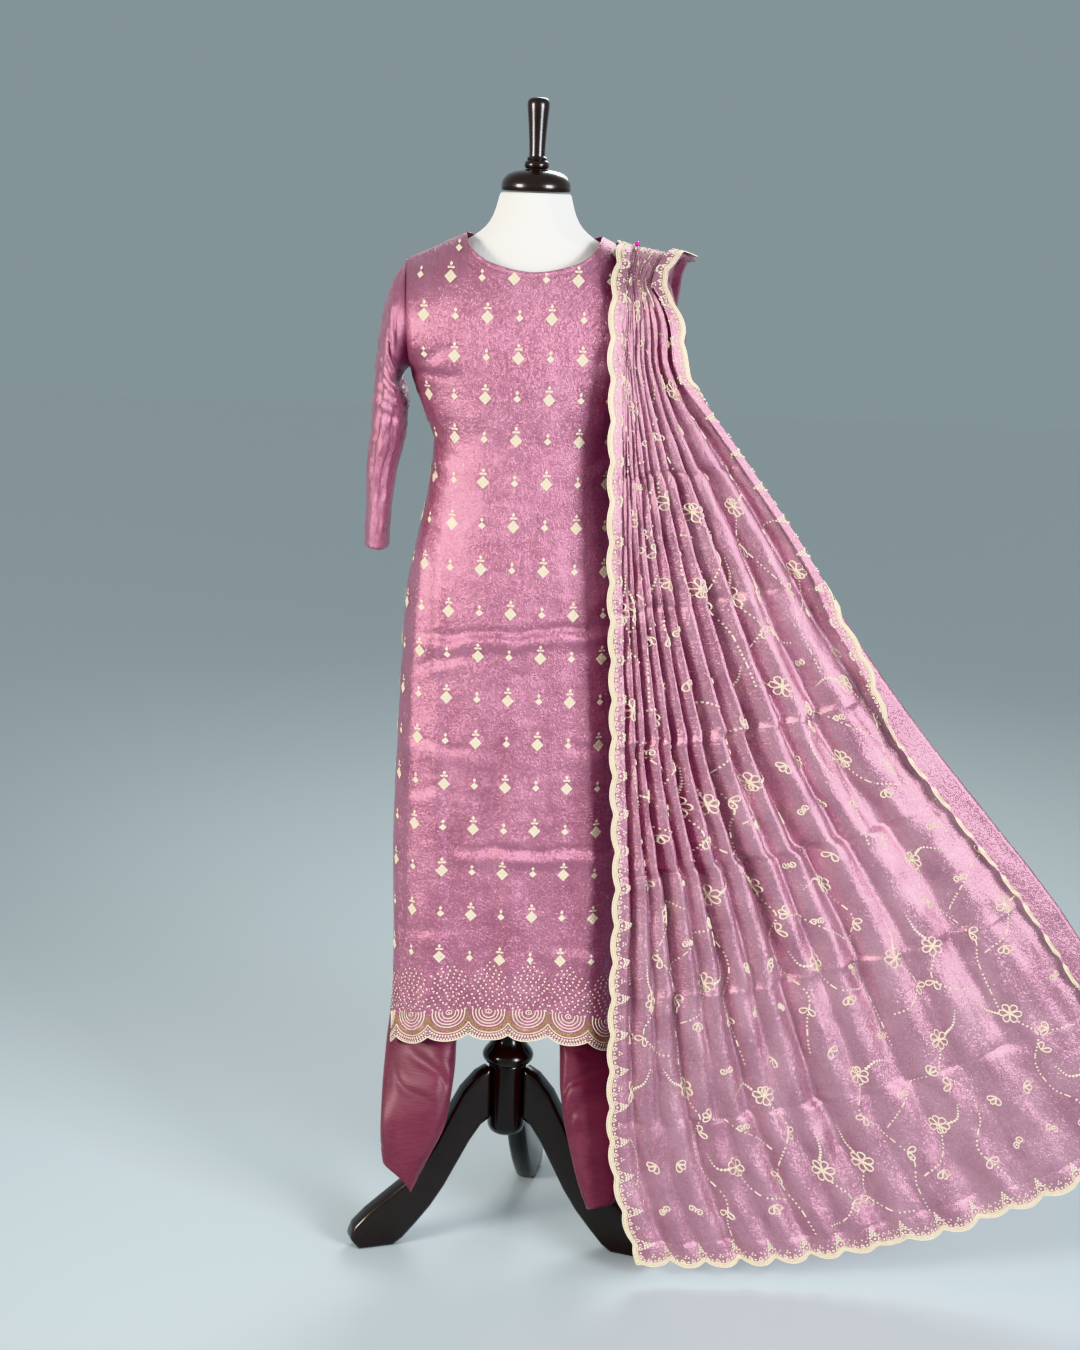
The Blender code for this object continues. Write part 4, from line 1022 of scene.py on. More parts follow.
def bare_leg(side, turn, height, tube, swing=0.0):
    """Points of a leg: turns 0 and 1 are its inner seam, 0.5 its outer edge; tube is 1 below the crotch."""
    level = np.where(tube > 0, np.minimum(height, CROTCH - 1e-4), height)
    inner, outer = column(TROUSERS, "inner", level), column(TROUSERS, "outer", level)
    inner = inner + swing * (1 - ease(level, *SWING_HEIGHTS))
    angle = np.where(tube > 0, math.pi, math.pi / 2) * (1 - 2 * turn)
    middle = np.where(tube > 0, (inner + outer) / 2, SEAM / 2)
    reach = np.where(tube > 0, (outer - inner) / 2, outer)
    x = middle + reach * np.sign(np.cos(angle)) * np.abs(np.cos(angle)) ** (2 / TROUSER_SQUARENESS)
    deep = np.sign(np.sin(angle)) * np.abs(np.sin(angle)) ** (2 / TROUSER_SQUARENESS)
    y = -column(TROUSERS, "forward", level) - deep * column(TROUSERS, "half_depth", level)
    y = y + column(TROUSERS, "bend", level) * (np.abs(x) / outer) ** 3
    return np.stack([side * x + AXIS[0], y + AXIS[1], height], axis=-1)


def leg_relief(side, turn, height, hem):
    """Pulls, soft lengthwise folds and the sunk line of hem stitches on a trouser leg."""
    a = turn * LEG_GIRTH
    creases = dict(LEG_CREASES[side])
    creases["a0"], creases["a1"] = creases["a0"] * LEG_GIRTH, creases["a1"] * LEG_GIRTH
    below = 1 - ease(height, 0.30, 0.42)
    folds = 0.0007 * rumple(a, height, 41 + side, 0.060, 0.60)
    folds += 0.0003 * rumple(a, height, 43 + side, 0.030, 0.07)
    stitched = -0.0009 * np.exp(-(((height - hem - HEM_TURN_UP) / 0.0022) ** 2))
    folded = crease_relief(creases, a, height) + folds * (0.3 + 0.7 * below)
    return folded * ease(height, hem, hem + 0.03) + stitched


def raw_silk(name, deep, bright, slub_mm, relief_mm, **settings):
    """Plain-woven raw silk: a soft, even shine with short level slubs where the yarn thickens."""
    made, tree, shader = principled(name, **settings)
    flat = node(tree, "ShaderNodeUVMap", uv_map="flat")
    length, across = slub_mm
    slub_map = node(tree, "ShaderNodeMapping", [("Vector", flat, "UV")],
                    Scale=(1000 / length, 1000 / across, 1))
    slubs = node(tree, "ShaderNodeTexNoise", [("Vector", slub_map, "Vector")], Scale=1.0, Detail=3.0)
    clouds = node(tree, "ShaderNodeTexNoise", [("Vector", flat, "UV")], Scale=1000 / 60, Detail=3.0)
    mixed = node(tree, "ShaderNodeMath", [(0, slubs, "Fac"), (1, clouds, "Fac")], operation="ADD")
    tone = node(tree, "ShaderNodeMapRange", [("Value", mixed, "Value")], **{"From Min": 0.7, "From Max": 1.3})
    colour = two_tones(tree, tone, "Result", deep, bright)
    bump = node(tree, "ShaderNodeBump", [("Height", slubs, "Fac")], Strength=1.0, Distance=relief_mm / 1000)
    wire(tree, shader, colour, bump)
    return made


TROUSER_SILK = raw_silk("plum_raw_silk", "#632A3A", "#783C4C", slub_mm=(16, 2.2), relief_mm=0.35,
                        Roughness=0.50, Metallic=0.10, Sheen_Weight=0.2, Sheen_Roughness=0.4)
LEG_PLACES, SEAT_ROWS, LEG_ROWS = 85, 31, 161
for name, (side, tip, rise, swing) in TROUSER_LEGS.items():
    upper = np.linspace(WAIST_SEAM - SEAM, CROTCH, SEAT_ROWS)
    lower = np.linspace(CROTCH - 0.004, tip, LEG_ROWS)
    turn, height = np.meshgrid(np.linspace(0, 1, LEG_PLACES), np.concatenate([upper, lower]))
    tube = (height < CROTCH - 1e-6).astype(float)
    below = np.clip((CROTCH - height) / (CROTCH - tip), 0, 1)
    # The hem is straight from its tip to the outer edge.
    outward_by = np.cos(math.pi * (1 - 2 * turn))
    slant = rise * (1 + np.sign(outward_by) * np.abs(outward_by) ** (2 / TROUSER_SQUARENESS)) / 2
    height = height + slant * below**3

    def leg_surface(turn, height):
        points, normals = face_of(lambda t, h: bare_leg(side, t, h, tube, swing), turn, height, side,
                                  step=0.004)
        return points + normals * leg_relief(side, turn, height, tip + slant)[..., None]

    points = leg_surface(turn, height)
    points[len(upper):, -1] = points[len(upper):, 0]
    flat = np.stack([turn * LEG_GIRTH + side, height], axis=-1)
    leg = sheet_mesh(name + "_silk", points, flat, outward_is=-side, merge=True)
    give_wall(leg, CLOTH_WALL)
    finish_cloth(leg, TROUSER_SILK, "trouser_silk", name)

# The waistband is a casing gathered on its drawcord, so it ripples all the way round.
GATHERS, WAIST_PLACES, WAIST_ROWS = 70, 361, 7
turn, height = np.meshgrid(np.linspace(0, 1, WAIST_PLACES), np.linspace(WAIST_SEAM, WAIST_TOP, WAIST_ROWS))
left_half = turn <= 0.5
points = bare_leg(1, np.where(left_half, 2 * turn, 2 - 2 * turn), height, np.zeros_like(turn))
points[..., 0] = AXIS[0] + np.where(left_half, 1, -1) * (points[..., 0] - AXIS[0])
gathers = 0.0005 * np.sin(2 * math.pi * GATHERS * turn) * ease(height, WAIST_SEAM, WAIST_SEAM + 0.01)
points[..., 1] += gathers
points[:, -1] = points[:, 0]
waistband = sheet_mesh("waistband", points, np.stack([turn * 0.9 + 3, height], axis=-1), outward_is=-1,
                       merge=True)
give_wall(waistband, CLOTH_WALL)
finish_cloth(waistband, TROUSER_SILK, "trouser_silk", "trouser_waistband")

# ---------------------------------------------------------------- dupatta
# A sheer tissue-silk stole, 0.925 m by 2.52 m, pinned in pleats on the left shoulder. It fans out in
# front to the floor, falls straight behind, and one long edge is turned back on itself.

DUPATTA_WIDTH, TURNED_WIDTH = 0.88, 0.045
FULL_WIDTH = DUPATTA_WIDTH + TURNED_WIDTH
FRONT_LENGTH, BACK_LENGTH = 1.521, 1.0
# Each stretch's two edges, by the run of cloth from the top of the shoulder, and the sag between.
FRONT_EDGES = table("run lx ly lz rx ry rz sag", [
    (0.000, 0.112, 0.000, 1.466, 0.222, 0.000, 1.441, 0.000),
    (0.036, 0.111, -0.036, 1.461, 0.203, -0.030, 1.448, 0.000),
    (0.078, 0.107, -0.080, 1.441, 0.184, -0.064, 1.426, 0.000),
    (0.105, 0.104, -0.102, 1.421, 0.177, -0.084, 1.408, 0.000),
    (0.135, 0.102, -0.117, 1.395, 0.191, -0.097, 1.387, 0.000),
    (0.176, 0.101, -0.126, 1.355, 0.205, -0.103, 1.350, 0.000),
    (0.212, 0.102, -0.134, 1.319, 0.208, -0.106, 1.317, 0.000),
    (0.250, 0.104, -0.141, 1.282, 0.222, -0.108, 1.281, 0.001),
    (0.351, 0.107, -0.149, 1.181, 0.286, -0.112, 1.194, 0.002),
    (0.479, 0.111, -0.152, 1.053, 0.362, -0.116, 1.092, 0.003),
    (0.657, 0.121, -0.152, 0.876, 0.461, -0.122, 0.944, 0.010),
    (0.803, 0.128, -0.152, 0.731, 0.550, -0.124, 0.828, 0.017),
    (0.958, 0.138, -0.152, 0.577, 0.651, -0.124, 0.710, 0.025),
    (1.117, 0.139, -0.152, 0.418, 0.754, -0.122, 0.589, 0.034),
    (1.304, 0.144, -0.152, 0.232, 0.862, -0.117, 0.437, 0.050),
    (1.367, 0.152, -0.152, 0.170, 0.897, -0.115, 0.384, 0.052),
    (1.438, 0.169, -0.152, 0.101, 0.936, -0.112, 0.325, 0.066),
    (1.521, 0.196, -0.152, 0.023, 0.982, -0.110, 0.253, 0.076),
])
BACK_EDGES = table("run lx ly lz rx ry rz sag", [
    (0.000, 0.112, 0.000, 1.466, 0.222, 0.000, 1.441, 0.000),
    (0.040, 0.112, 0.040, 1.461, 0.214, 0.034, 1.438, 0.000),
    (0.085, 0.110, 0.080, 1.440, 0.207, 0.072, 1.414, 0.000),
    (0.135, 0.107, 0.112, 1.402, 0.205, 0.103, 1.375, 0.000),
    (0.200, 0.104, 0.128, 1.340, 0.209, 0.116, 1.312, 0.000),
    (0.400, 0.098, 0.136, 1.141, 0.230, 0.126, 1.113, 0.002),
    (0.700, 0.090, 0.142, 0.841, 0.262, 0.132, 0.816, 0.006),
    (1.000, 0.084, 0.144, 0.541, 0.290, 0.136, 0.518, 0.010),
])
PLEATS = 12
# The flat cloth beside the pinned edge, and beside the outer fold, that isn't pleated.
NEAR_EDGE, NEAR_FOLD = 0.021, 0.012
# The deepest that a pleat may fold, which over the shoulder and the bust is the room behind it.
PLEAT_ROOM = table("run depth", [
    (-1.0, 0.031), (-0.40, 0.029), (-0.20, 0.019), (-0.085, 0.009), (0.0, 0.006), (0.078, 0.009),
    (0.135, 0.013), (0.25, 0.023), (0.351, 0.029), (0.479, 0.032), (1.521, 0.032),
])
CROWDING = table("run share", [
    (-1.0, 0.0), (-0.30, 0.10), (-0.08, 0.45), (0.0, 0.72), (0.06, 0.76), (0.20, 0.72), (0.40, 0.66),
    (0.60, 0.56), (1.0, 0.34), (1.521, 0.10),
])
# How far a pleat's gap leans back under the pleat on its pinned side, as a share of its depth.
PLEAT_LEAN = table("run share", [
    (-1.0, 0.5), (-0.2, 0.9), (0.0, 0.8), (0.15, 1.0), (0.45, 1.15), (0.80, 0.70), (1.15, 0.25), (1.521, 0.1),
])
# The outer strip lies folded over the front in a Z: it runs inward this far before it turns back.
FOLD_REACH = table("run reach", [
    (-1.000, 0.0225), (0.230, 0.0225), (0.300, 0.0135), (0.540, 0.0135), (0.610, 0.0225), (0.670, 0.0235),
    (0.760, 0.0340), (0.840, 0.0435), (1.521, 0.0435),
])
FOLD_LIFT, FOLD_RADIUS = 0.0030, 0.0012
# The stole was also pressed folded: in lines across it, and in two lines along it.
PRESS_PITCH, PRESS_START, QUARTER_LINES = 0.1855, 0.370, (0.46, 0.69)
SIDE_SCALLOP, SIDE_SCALLOP_DEPTH, END_SCALLOP_DEPTH = 0.054, 0.005, 0.009
# Each pleat's share of the common depth and of the width, from the pinned edge outward.
PLEAT_DEPTHS = np.array([1.0, 0.70, 1.1, 0.75, 1.15, 0.80, 1.2, 0.65, 1.1, 0.70, 1.0, 0.65])
PLEAT_WIDTHS = np.array([0.85, 0.70, 0.95, 0.75, 0.90, 0.80, 1.15, 0.90, 1.35, 1.0, 1.60, 1.35])
PLEAT_BOUNDS = np.concatenate([[0], np.cumsum(PLEAT_WIDTHS)]) / PLEAT_WIDTHS.sum()


def edge_places(edges, run):
    """A section's left and right ends at each run of cloth, as points in the shared frame."""
    return [np.stack([column(edges, side + axis, run) for axis in "xyz"], axis=-1) + AXIS for side in "lr"]


def unit(vector):
    """Vectors scaled to length one."""
    return vector / np.maximum(np.linalg.norm(vector, axis=-1, keepdims=True), 1e-12)


RUNS = np.linspace(-BACK_LENGTH, FRONT_LENGTH, 1261)


def section_frames():
    """Left and right ends, outward and downward directions, and sag, at every one of RUNS."""
    front = RUNS >= 0
    ends = []
    for at in (RUNS, np.clip(RUNS - 0.006, RUNS[0], None), np.clip(RUNS + 0.006, None, RUNS[-1])):
        ahead, behind = edge_places(FRONT_EDGES, np.abs(at)), edge_places(BACK_EDGES, np.abs(at))
        ends.append([np.where((at >= 0)[:, None], a, b) for a, b in zip(ahead, behind)])
    (left, right), before, after = ends
    down = unit(after[0] - before[0] + after[1] - before[1])
    outward = unit(np.cross(right - left, down)) * -1
    sag = np.where(front, column(FRONT_EDGES, "sag", np.abs(RUNS)), column(BACK_EDGES, "sag", np.abs(RUNS)))
    return left, right, outward, np.where(front[:, None], down, -down), sag


FRAMES = section_frames()


def read_runs(values, run):
    """Reads values kept at RUNS, at any run of cloth."""
    at = np.clip((run - RUNS[0]) / (RUNS[1] - RUNS[0]), 0, len(RUNS) - 1.001)
    low = at.astype(int)
    part = at - low
    if values.ndim > 1:
        part = part[..., None]
    return values[low] * (1 - part) + values[low + 1] * part


CROWD = column(CROWDING, "share", RUNS)
REACH = column(FOLD_REACH, "reach", RUNS)
LEAN = column(PLEAT_LEAN, "share", RUNS)
ROOM = column(PLEAT_ROOM, "depth", RUNS)


def press_lines(run):
    """Signed distance to the nearest line that the cloth was pressed along, and that line's number."""
    number = np.round((run - PRESS_START) / PRESS_PITCH)
    return run - PRESS_START - number * PRESS_PITCH, number


def pleat_shift(run):
    """The small step sideways that every pleat makes at each pressed line, in shares of a pleat."""
    off, number = press_lines(run)
    steps = 0.10 * np.sin(2.4 * (number + 12)) + 0.06 * np.sin(5.1 * (number + 12))
    before = 0.10 * np.sin(2.4 * (number + 11)) + 0.06 * np.sin(5.1 * (number + 11))
    after_line = ease(off, -0.008, 0.008)
    return np.where(np.abs(run) < 0.2, 0, 1) * (before + (steps - before) * after_line)


def pleat_fold(inside, run, crowd, width):
    """How far the cloth dips behind its section's straight line, and how far it slips along it."""
    at_edge = np.clip(np.minimum(inside, 1 - inside) * 8, 0, 1)
    phase = np.interp(inside, PLEAT_BOUNDS, np.arange(PLEATS + 1)) + pleat_shift(run) * at_edge
    uneven = np.interp(phase, np.arange(PLEATS) + 0.5, PLEAT_DEPTHS)
    wave = (1 - np.cos(2 * math.pi * phase)) / 2
    number = np.clip(phase.astype(int), 0, PLEATS - 1)
    flat_pleat = PLEAT_WIDTHS[number] / PLEAT_WIDTHS.sum() * DUPATTA_WIDTH
    spacing = (1 - crowd + 2 * crowd * inside) * width * PLEAT_WIDTHS[number] / PLEAT_WIDTHS.sum()
    spacing = np.maximum(spacing, 1e-4)
    slack = np.clip(1 - (spacing / flat_pleat) ** 2, 0, 1)
    depth = np.minimum(np.minimum(flat_pleat / 2 * np.sqrt(slack), spacing * 2.6), read_runs(ROOM, run))
    # Each pleat keeps one depth over its own width, and the fan's outer pleats are shallow.
    spread = (1 - 0.45 * ease(run, 0.7, 1.35)) * (1 - 0.55 * ease(inside, 0.5, 0.95) * ease(run, 0.1, 0.4))
    # Over the shoulder a broad layer lies flat on the pleats.
    flat_layer = ease(inside, 0.22, 0.42) * (1 - ease(run, 0.07, 0.18)) * ease(run, -0.10, -0.02)
    dip = wave * uneven * spread * depth * (1 - 0.9 * flat_layer)
    # Crests are broad and gaps narrow where the cloth is gathered, and the gaps lean under.
    gathered = np.clip(depth / spacing / 1.2, 0, 1)
    lean = read_runs(LEAN, run) * (1 - 0.6 * ease(inside, 0.55, 0.95))
    slip = 0.13 * spacing * gathered * np.sin(2 * math.pi * phase) - lean * dip
    # Beside the outer strip the cloth falls away sharply, so the strip stands over it.
    step = np.exp(-(((inside - 0.965) / 0.025) ** 2)) * ease(run, 0.16, 0.35)
    step = step * (1 - 0.6 * ease(run, 0.8, 0.95))
    behind = 0.3 * depth * ease(-run, 0.2, 0.45)
    return dip - behind + 0.010 * step, slip


def dupatta_relief(a, run):
    """Fine relief: pressed lines, soft puckers beside them, and the crinkle of gathered tissue."""
    off, number = press_lines(run)
    side = np.where(np.sin(3.7 * number) > 0, 1, -1)
    wander = 0.35 + 0.65 * np.abs(np.sin(2.3 * number + 9 * a))
    off = off + 0.004 * np.sin(2 * math.pi * a / 0.37 + 3 * number)
    off = off + 0.0016 * np.sin(2 * math.pi * a / 0.11 + number)
    press = side * 0.0015 * wander * np.exp(-np.abs(off) / 0.0035)
    swell = 0.0010 * np.exp(-((off - 0.02) / 0.018) ** 2) * np.sin(2 * math.pi * a / 0.21 + number)
    fan = ease(run, 0.35, 1.0)
    crinkle = 0.00055 * rumple(a, run, 61, 0.035, 0.075)
    crinkle += 0.0007 * fan * rumple(a, run, 62, 0.060, 0.34, sharp=True)
    quarters = 0.0016 * fan * sum(np.exp(-np.abs(a - line) / 0.006) for line in QUARTER_LINES)
    return (press + swell) * ease(np.abs(run), 0.1, 0.3) + crinkle + quarters


def strip_path(along, reach):
    """The outer strip's section: how far outward of the fold it lies, and its lift off the cloth."""
    inward = np.sqrt((along - reach) ** 2 + FOLD_RADIUS**2) - np.sqrt(reach**2 + FOLD_RADIUS**2)
    past = np.clip(inward, 0, None)
    # What is left past the outer fold wraps round behind it.
    outward_by = (np.minimum(inward, 0) + 0.0016 * (1 - np.exp(-past / 0.0016))
                  - np.clip(past - 0.003, 0, None))
    lift = FOLD_LIFT * (ease(along, 0, 0.004) + ease(along, reach - 0.003, reach + 0.003))
    return outward_by, lift - 3 * FOLD_LIFT * ease(past, 0, 0.005)


def bare_dupatta(a, run):
    """Points of the pleated cloth and of its outer strip, before the finer relief."""
    left, right, outward, down, sag = (read_runs(values, run) for values in FRAMES)
    crowd, reach = read_runs(CROWD, run), read_runs(REACH, run)
    along_edge = unit(right - left)
    width = np.linalg.norm(right - left, axis=-1)
    room = width - NEAR_EDGE - NEAR_FOLD
    inside = np.clip((a - NEAR_EDGE) / (DUPATTA_WIDTH - NEAR_EDGE - NEAR_FOLD), 0, 1)
    dip, slip = pleat_fold(inside, run, crowd, room)
    across = np.clip(a, 0, NEAR_EDGE) + room * (inside + crowd * (inside**2 - inside)) + np.clip(
        a - DUPATTA_WIDTH + NEAR_FOLD, 0, NEAR_FOLD)
    # No gap leans out past the pinned edge.
    slip = np.maximum(slip, np.minimum(0.012 - across, 0))
    place = across / width
    points = (left + along_edge * (across + slip)[..., None] - outward * dip[..., None]
              + down * (sag * 4 * place * (1 - place))[..., None])
    strip = np.clip(a - DUPATTA_WIDTH, 0, None)
    past_edge = np.clip(-a, 0, None)
    outward_by, lift = strip_path(strip, reach)
    return points + along_edge * (outward_by - past_edge)[..., None] + outward * lift[..., None]


def dupatta_surface(a, run):
    """The stole's outer face as a function of the distance across its flat width and along its run."""
    points, normals = face_of(bare_dupatta, a, run, -1, step=0.003)
    on_strip = np.clip((DUPATTA_WIDTH - a) / 0.02, 0.25, 1)
    return points + normals * (dupatta_relief(a, run) * on_strip)[..., None]


def side_inset(run):
    """How far the long edges lie inside their outermost points, with sharp cusps between scallops."""
    return SIDE_SCALLOP_DEPTH * (2 * np.abs((run + BACK_LENGTH) / SIDE_SCALLOP % 1 - 0.5)) ** 2


def end_inset(a):
    """How far the ends lie inside their outermost points."""
    return END_SCALLOP_DEPTH * (2 * np.abs(a / SIDE_SCALLOP % 1 - 0.5)) ** 2


# More rows lie beside each pressed line, and more places across the folded strip.
beside_lines = np.add.outer(PRESS_START + PRESS_PITCH * np.arange(-7, 7), [-0.006, -0.0025, 0, 0.0025, 0.006])
beside_lines = beside_lines[np.abs(beside_lines - 0.26) < 1.24]
ROWS = np.unique(np.round(np.concatenate([np.linspace(-BACK_LENGTH, FRONT_LENGTH, 341), beside_lines]), 4))
STRIP_STEPS = DUPATTA_WIDTH + TURNED_WIDTH * np.linspace(0, 1, 31)[1:]
PLACES = np.concatenate([[0, 0.004, 0.009], np.linspace(0.014, DUPATTA_WIDTH - 0.003, 204), [DUPATTA_WIDTH],
                         STRIP_STEPS])
a, run = np.meshgrid(PLACES, ROWS)
near_left, near_right, near_front, near_back = (
    np.clip(1 - from_edge / 0.03, 0, 1)
    for from_edge in (a, FULL_WIDTH - a, FRONT_LENGTH - run, run + BACK_LENGTH))
flat_a = a + side_inset(run) * (near_left - near_right)
flat_run = run - end_inset(a) * (near_front - near_back)

# The stole is thinner than the tunic: what lies behind shows faintly through it.
DUPATTA_SILK = tissue_silk("sheer_rose_tissue_silk", "#9A5C73", "#CF9BAC", slub_mm=(24, 2.6), crinkle_mm=4.5,
                           relief_mm=0.9, Roughness=0.28, Metallic=0.55, Alpha=0.94, Sheen_Weight=0.4,
                           Sheen_Roughness=0.3, Sheen_Tint=srgb("#F3DCE4"), IOR=1.7,
                           Specular_IOR_Level=1.0)
dupatta = sheet_mesh("dupatta_silk_sheet", dupatta_surface(flat_a, flat_run),
                     np.stack([flat_a, flat_run], axis=-1), outward_is=-1)
finish_cloth(dupatta, DUPATTA_SILK, "dupatta_silk", "dupatta_front", "dupatta_back", "dupatta_shoulder",
             "dupatta_turned_edge")

# ---------------------------------------------------------------- dupatta embroidery
# The stole is worked on one face only: couched-cord flowers, leaves and beaded vines all over, and a
# scalloped edging of gold braid, beads and beaded cones. On the turned strip it faces the cloth.


def curve(points, step):
    """Even places, a step apart, along a smooth curve through points given in millimetres."""
    points = np.array(points, float) * MM
    ends = np.vstack([2 * points[0] - points[1], points, 2 * points[-1] - points[-2]])
    t = np.linspace(0, 1, 12, endpoint=False)[:, None]
    spans = [
        0.5 * (2 * b + (c - a) * t + (2 * a - 5 * b + 4 * c - d) * t**2 + (3 * b - a - 3 * c + d) * t**3)
        for a, b, c, d in zip(ends, ends[1:], ends[2:], ends[3:])
    ]
    path = np.vstack([*spans, points[-1:]])
    length = np.concatenate([[0], np.cumsum(np.linalg.norm(np.diff(path, axis=0), axis=1))])
    at = np.arange(0, length[-1], step)
    return np.column_stack([np.interp(at, length, path[:, 0]), np.interp(at, length, path[:, 1])])


def petal(x, y, toward, length, breadth, steps=11, **sizes):
    """A teardrop loop of cord from its point at x, y."""
    t = np.linspace(0, 2 * math.pi, steps, endpoint=False)
    out, over = length * (1 - np.cos(t)) / 2, breadth / 2 * np.sin(t) * np.sin(t / 2) * 1.3
    c, s = math.cos(toward), math.sin(toward)
    return cord(np.column_stack([x + out * c - over * s, y + out * s + over * c]), closed=True, **sizes)


def spiral(x, y, toward, radius, hand, **sizes):
    """A curl of cord that winds in to its middle."""
    t = np.linspace(0, 1, 15)
    r, turn = radius * (1 - 0.8 * t), toward + hand * 2 * math.pi * 1.35 * t
    back = toward + math.pi
    middle = np.array([x, y]) - radius * np.array([math.cos(back), math.sin(back)])
    return cord(middle + np.column_stack([np.cos(turn + math.pi) * r, np.sin(turn + math.pi) * r]), **sizes)


CORD = {"width": 1.8 * MM, "rise": 1.2 * MM}


def flower(x, y, turn, petals, curls):
    """A flower of looped petals about a bead; it may have two curls in place of petals at its top."""
    x, y = x * MM, y * MM
    stamps = [bead(x, y, 2.4 * MM)]
    for number in range(petals):
        toward = turn + 2 * math.pi * (number + (1 if curls else 0)) / (petals + (2 if curls else 0))
        stamps.append(petal(x + 2.0 * MM * math.cos(toward), y + 2.0 * MM * math.sin(toward), toward,
                            13.4 * MM, 9.2 * MM, **CORD))
    if curls:
        for hand in (-1, 1):
            toward = turn + hand * 0.42 - 0.3
            stamps.append(spiral(x + 2 * MM * math.cos(toward), y + 2 * MM * math.sin(toward), toward,
                                 6.4 * MM, hand, **CORD))
    return stamps


def leaves(x, y, toward, count=2):
    """Two or three looped leaves that spread from one point."""
    spread = np.linspace(-0.8, 0.8, count)
    return [petal(x * MM, y * MM, toward + turn, 13.0 * MM, 7.2 * MM, **CORD) for turn in spread]


def curls(x, y, toward):
    """Two curls that spread from one point."""
    return [spiral(x * MM, y * MM, toward + hand * 1.1, 5.6 * MM, hand, **CORD) for hand in (-1, 1)]


def graded_stem(*points):
    """Beads that grow toward the flower at the last point."""
    places = curve(points, 4.6 * MM)
    sizes = np.linspace(1.0, 2.4, len(places)) * MM
    return [bead(x, y, size) for (x, y), size in zip(places, sizes)]


def vine(*points):
    """A vine that takes turns between four beads and a dash of cord."""
    places, stamps, at = curve(points, 1 * MM), [], 0
    while at < len(places) - 14:
        stamps += [bead(*place, 1.5 * MM) for place in places[at : at + 24 : 6]]
        at += 23
        if at + 12 < len(places):
            stamps.append(cord(places[at : at + 12 : 3], 1.9 * MM, 1.1 * MM))
        at += 17
    return stamps


# One repeat of the design, 290 mm across the stole and 280 mm along it, placed in millimetres.
REPEAT_ACROSS, REPEAT_ALONG = 0.290, 0.280
DESIGN = [
    *flower(60, 50, 0.4, 6, False), *flower(203, 68, -1.2, 5, True),
    *flower(118, 176, 1.9, 5, True), *flower(256, 196, 0.1, 6, False),
    *graded_stem((18, 14), (28, 34), (46, 46)),
    *graded_stem((150, 62), (172, 52), (190, 60)),
    *graded_stem((80, 150), (88, 170), (105, 176)),
    *graded_stem((268, 140), (266, 165), (258, 183)),
    *vine((66, 66), (80, 95), (56, 136), (60, 180), (84, 216), (70, 262), (62, 316)),
    *vine((208, 84), (228, 122), (206, 160), (182, 205), (196, 248), (202, 334)),
    *vine((122, 192), (140, 216), (166, 226), (190, 236)),
    *vine((262, 212), (276, 240), (252, 268), (214, 276)),
    *vine((100, 96), (130, 104), (160, 128), (198, 160)),
    *leaves(74, 118, -0.3), *leaves(78, 236, 1.9), *leaves(224, 132, 0.5),
    *leaves(184, 196, 2.6), *leaves(276, 246, 0.9), *leaves(152, 232, 1.4, 3),
    *leaves(96, 92, 3.6, 3), *leaves(20, 160, 0.6, 3), *leaves(240, 20, 2.2),
    *curls(142, 22, 1.4), *curls(24, 232, -0.9), *curls(152, 116, -1.6),
]


def repeat_design():
    """The design in every repeat, every other one turned over, without what would cross an edge or fold."""
    kept = []
    margin, fold = 0.032, 0.010
    for i in range(-1, 4):
        for j in range(10):
            for points, faces, threads in DESIGN:
                flip = (i + j) % 2 == 1
                x = REPEAT_ACROSS - points[:, 0] if flip else points[:, 0]
                # Repeats step sideways down the stole, so its vines don't line up.
                a = 0.020 + i * REPEAT_ACROSS + x + 0.04 * (j % 3)
                run = -BACK_LENGTH - 0.04 + j * REPEAT_ALONG + points[:, 1]
                inside = (a.min() > margin and a.max() < FULL_WIDTH - margin
                          and run.min() > margin - BACK_LENGTH and run.max() < FRONT_LENGTH - margin)
                if inside and (a.max() < DUPATTA_WIDTH - fold or a.min() > DUPATTA_WIDTH + fold):
                    placed = np.column_stack([a, run, points[:, 2]])
                    kept.append((placed, faces[:, ::-1] if flip else faces, threads))
    return join(*kept)


CONE_PITCH, BRAID_BEAD_PITCH = 0.0135, 0.0037
# A flat gold braid between two cream cords: place inward, width and rise, in millimetres.
BRAID = ((3.4, 6.4, 0.5, GOLD_THREAD), (0.9, 1.7, 1.1, CREAM_THREAD), (6.6, 1.4, 1.0, CREAM_THREAD))


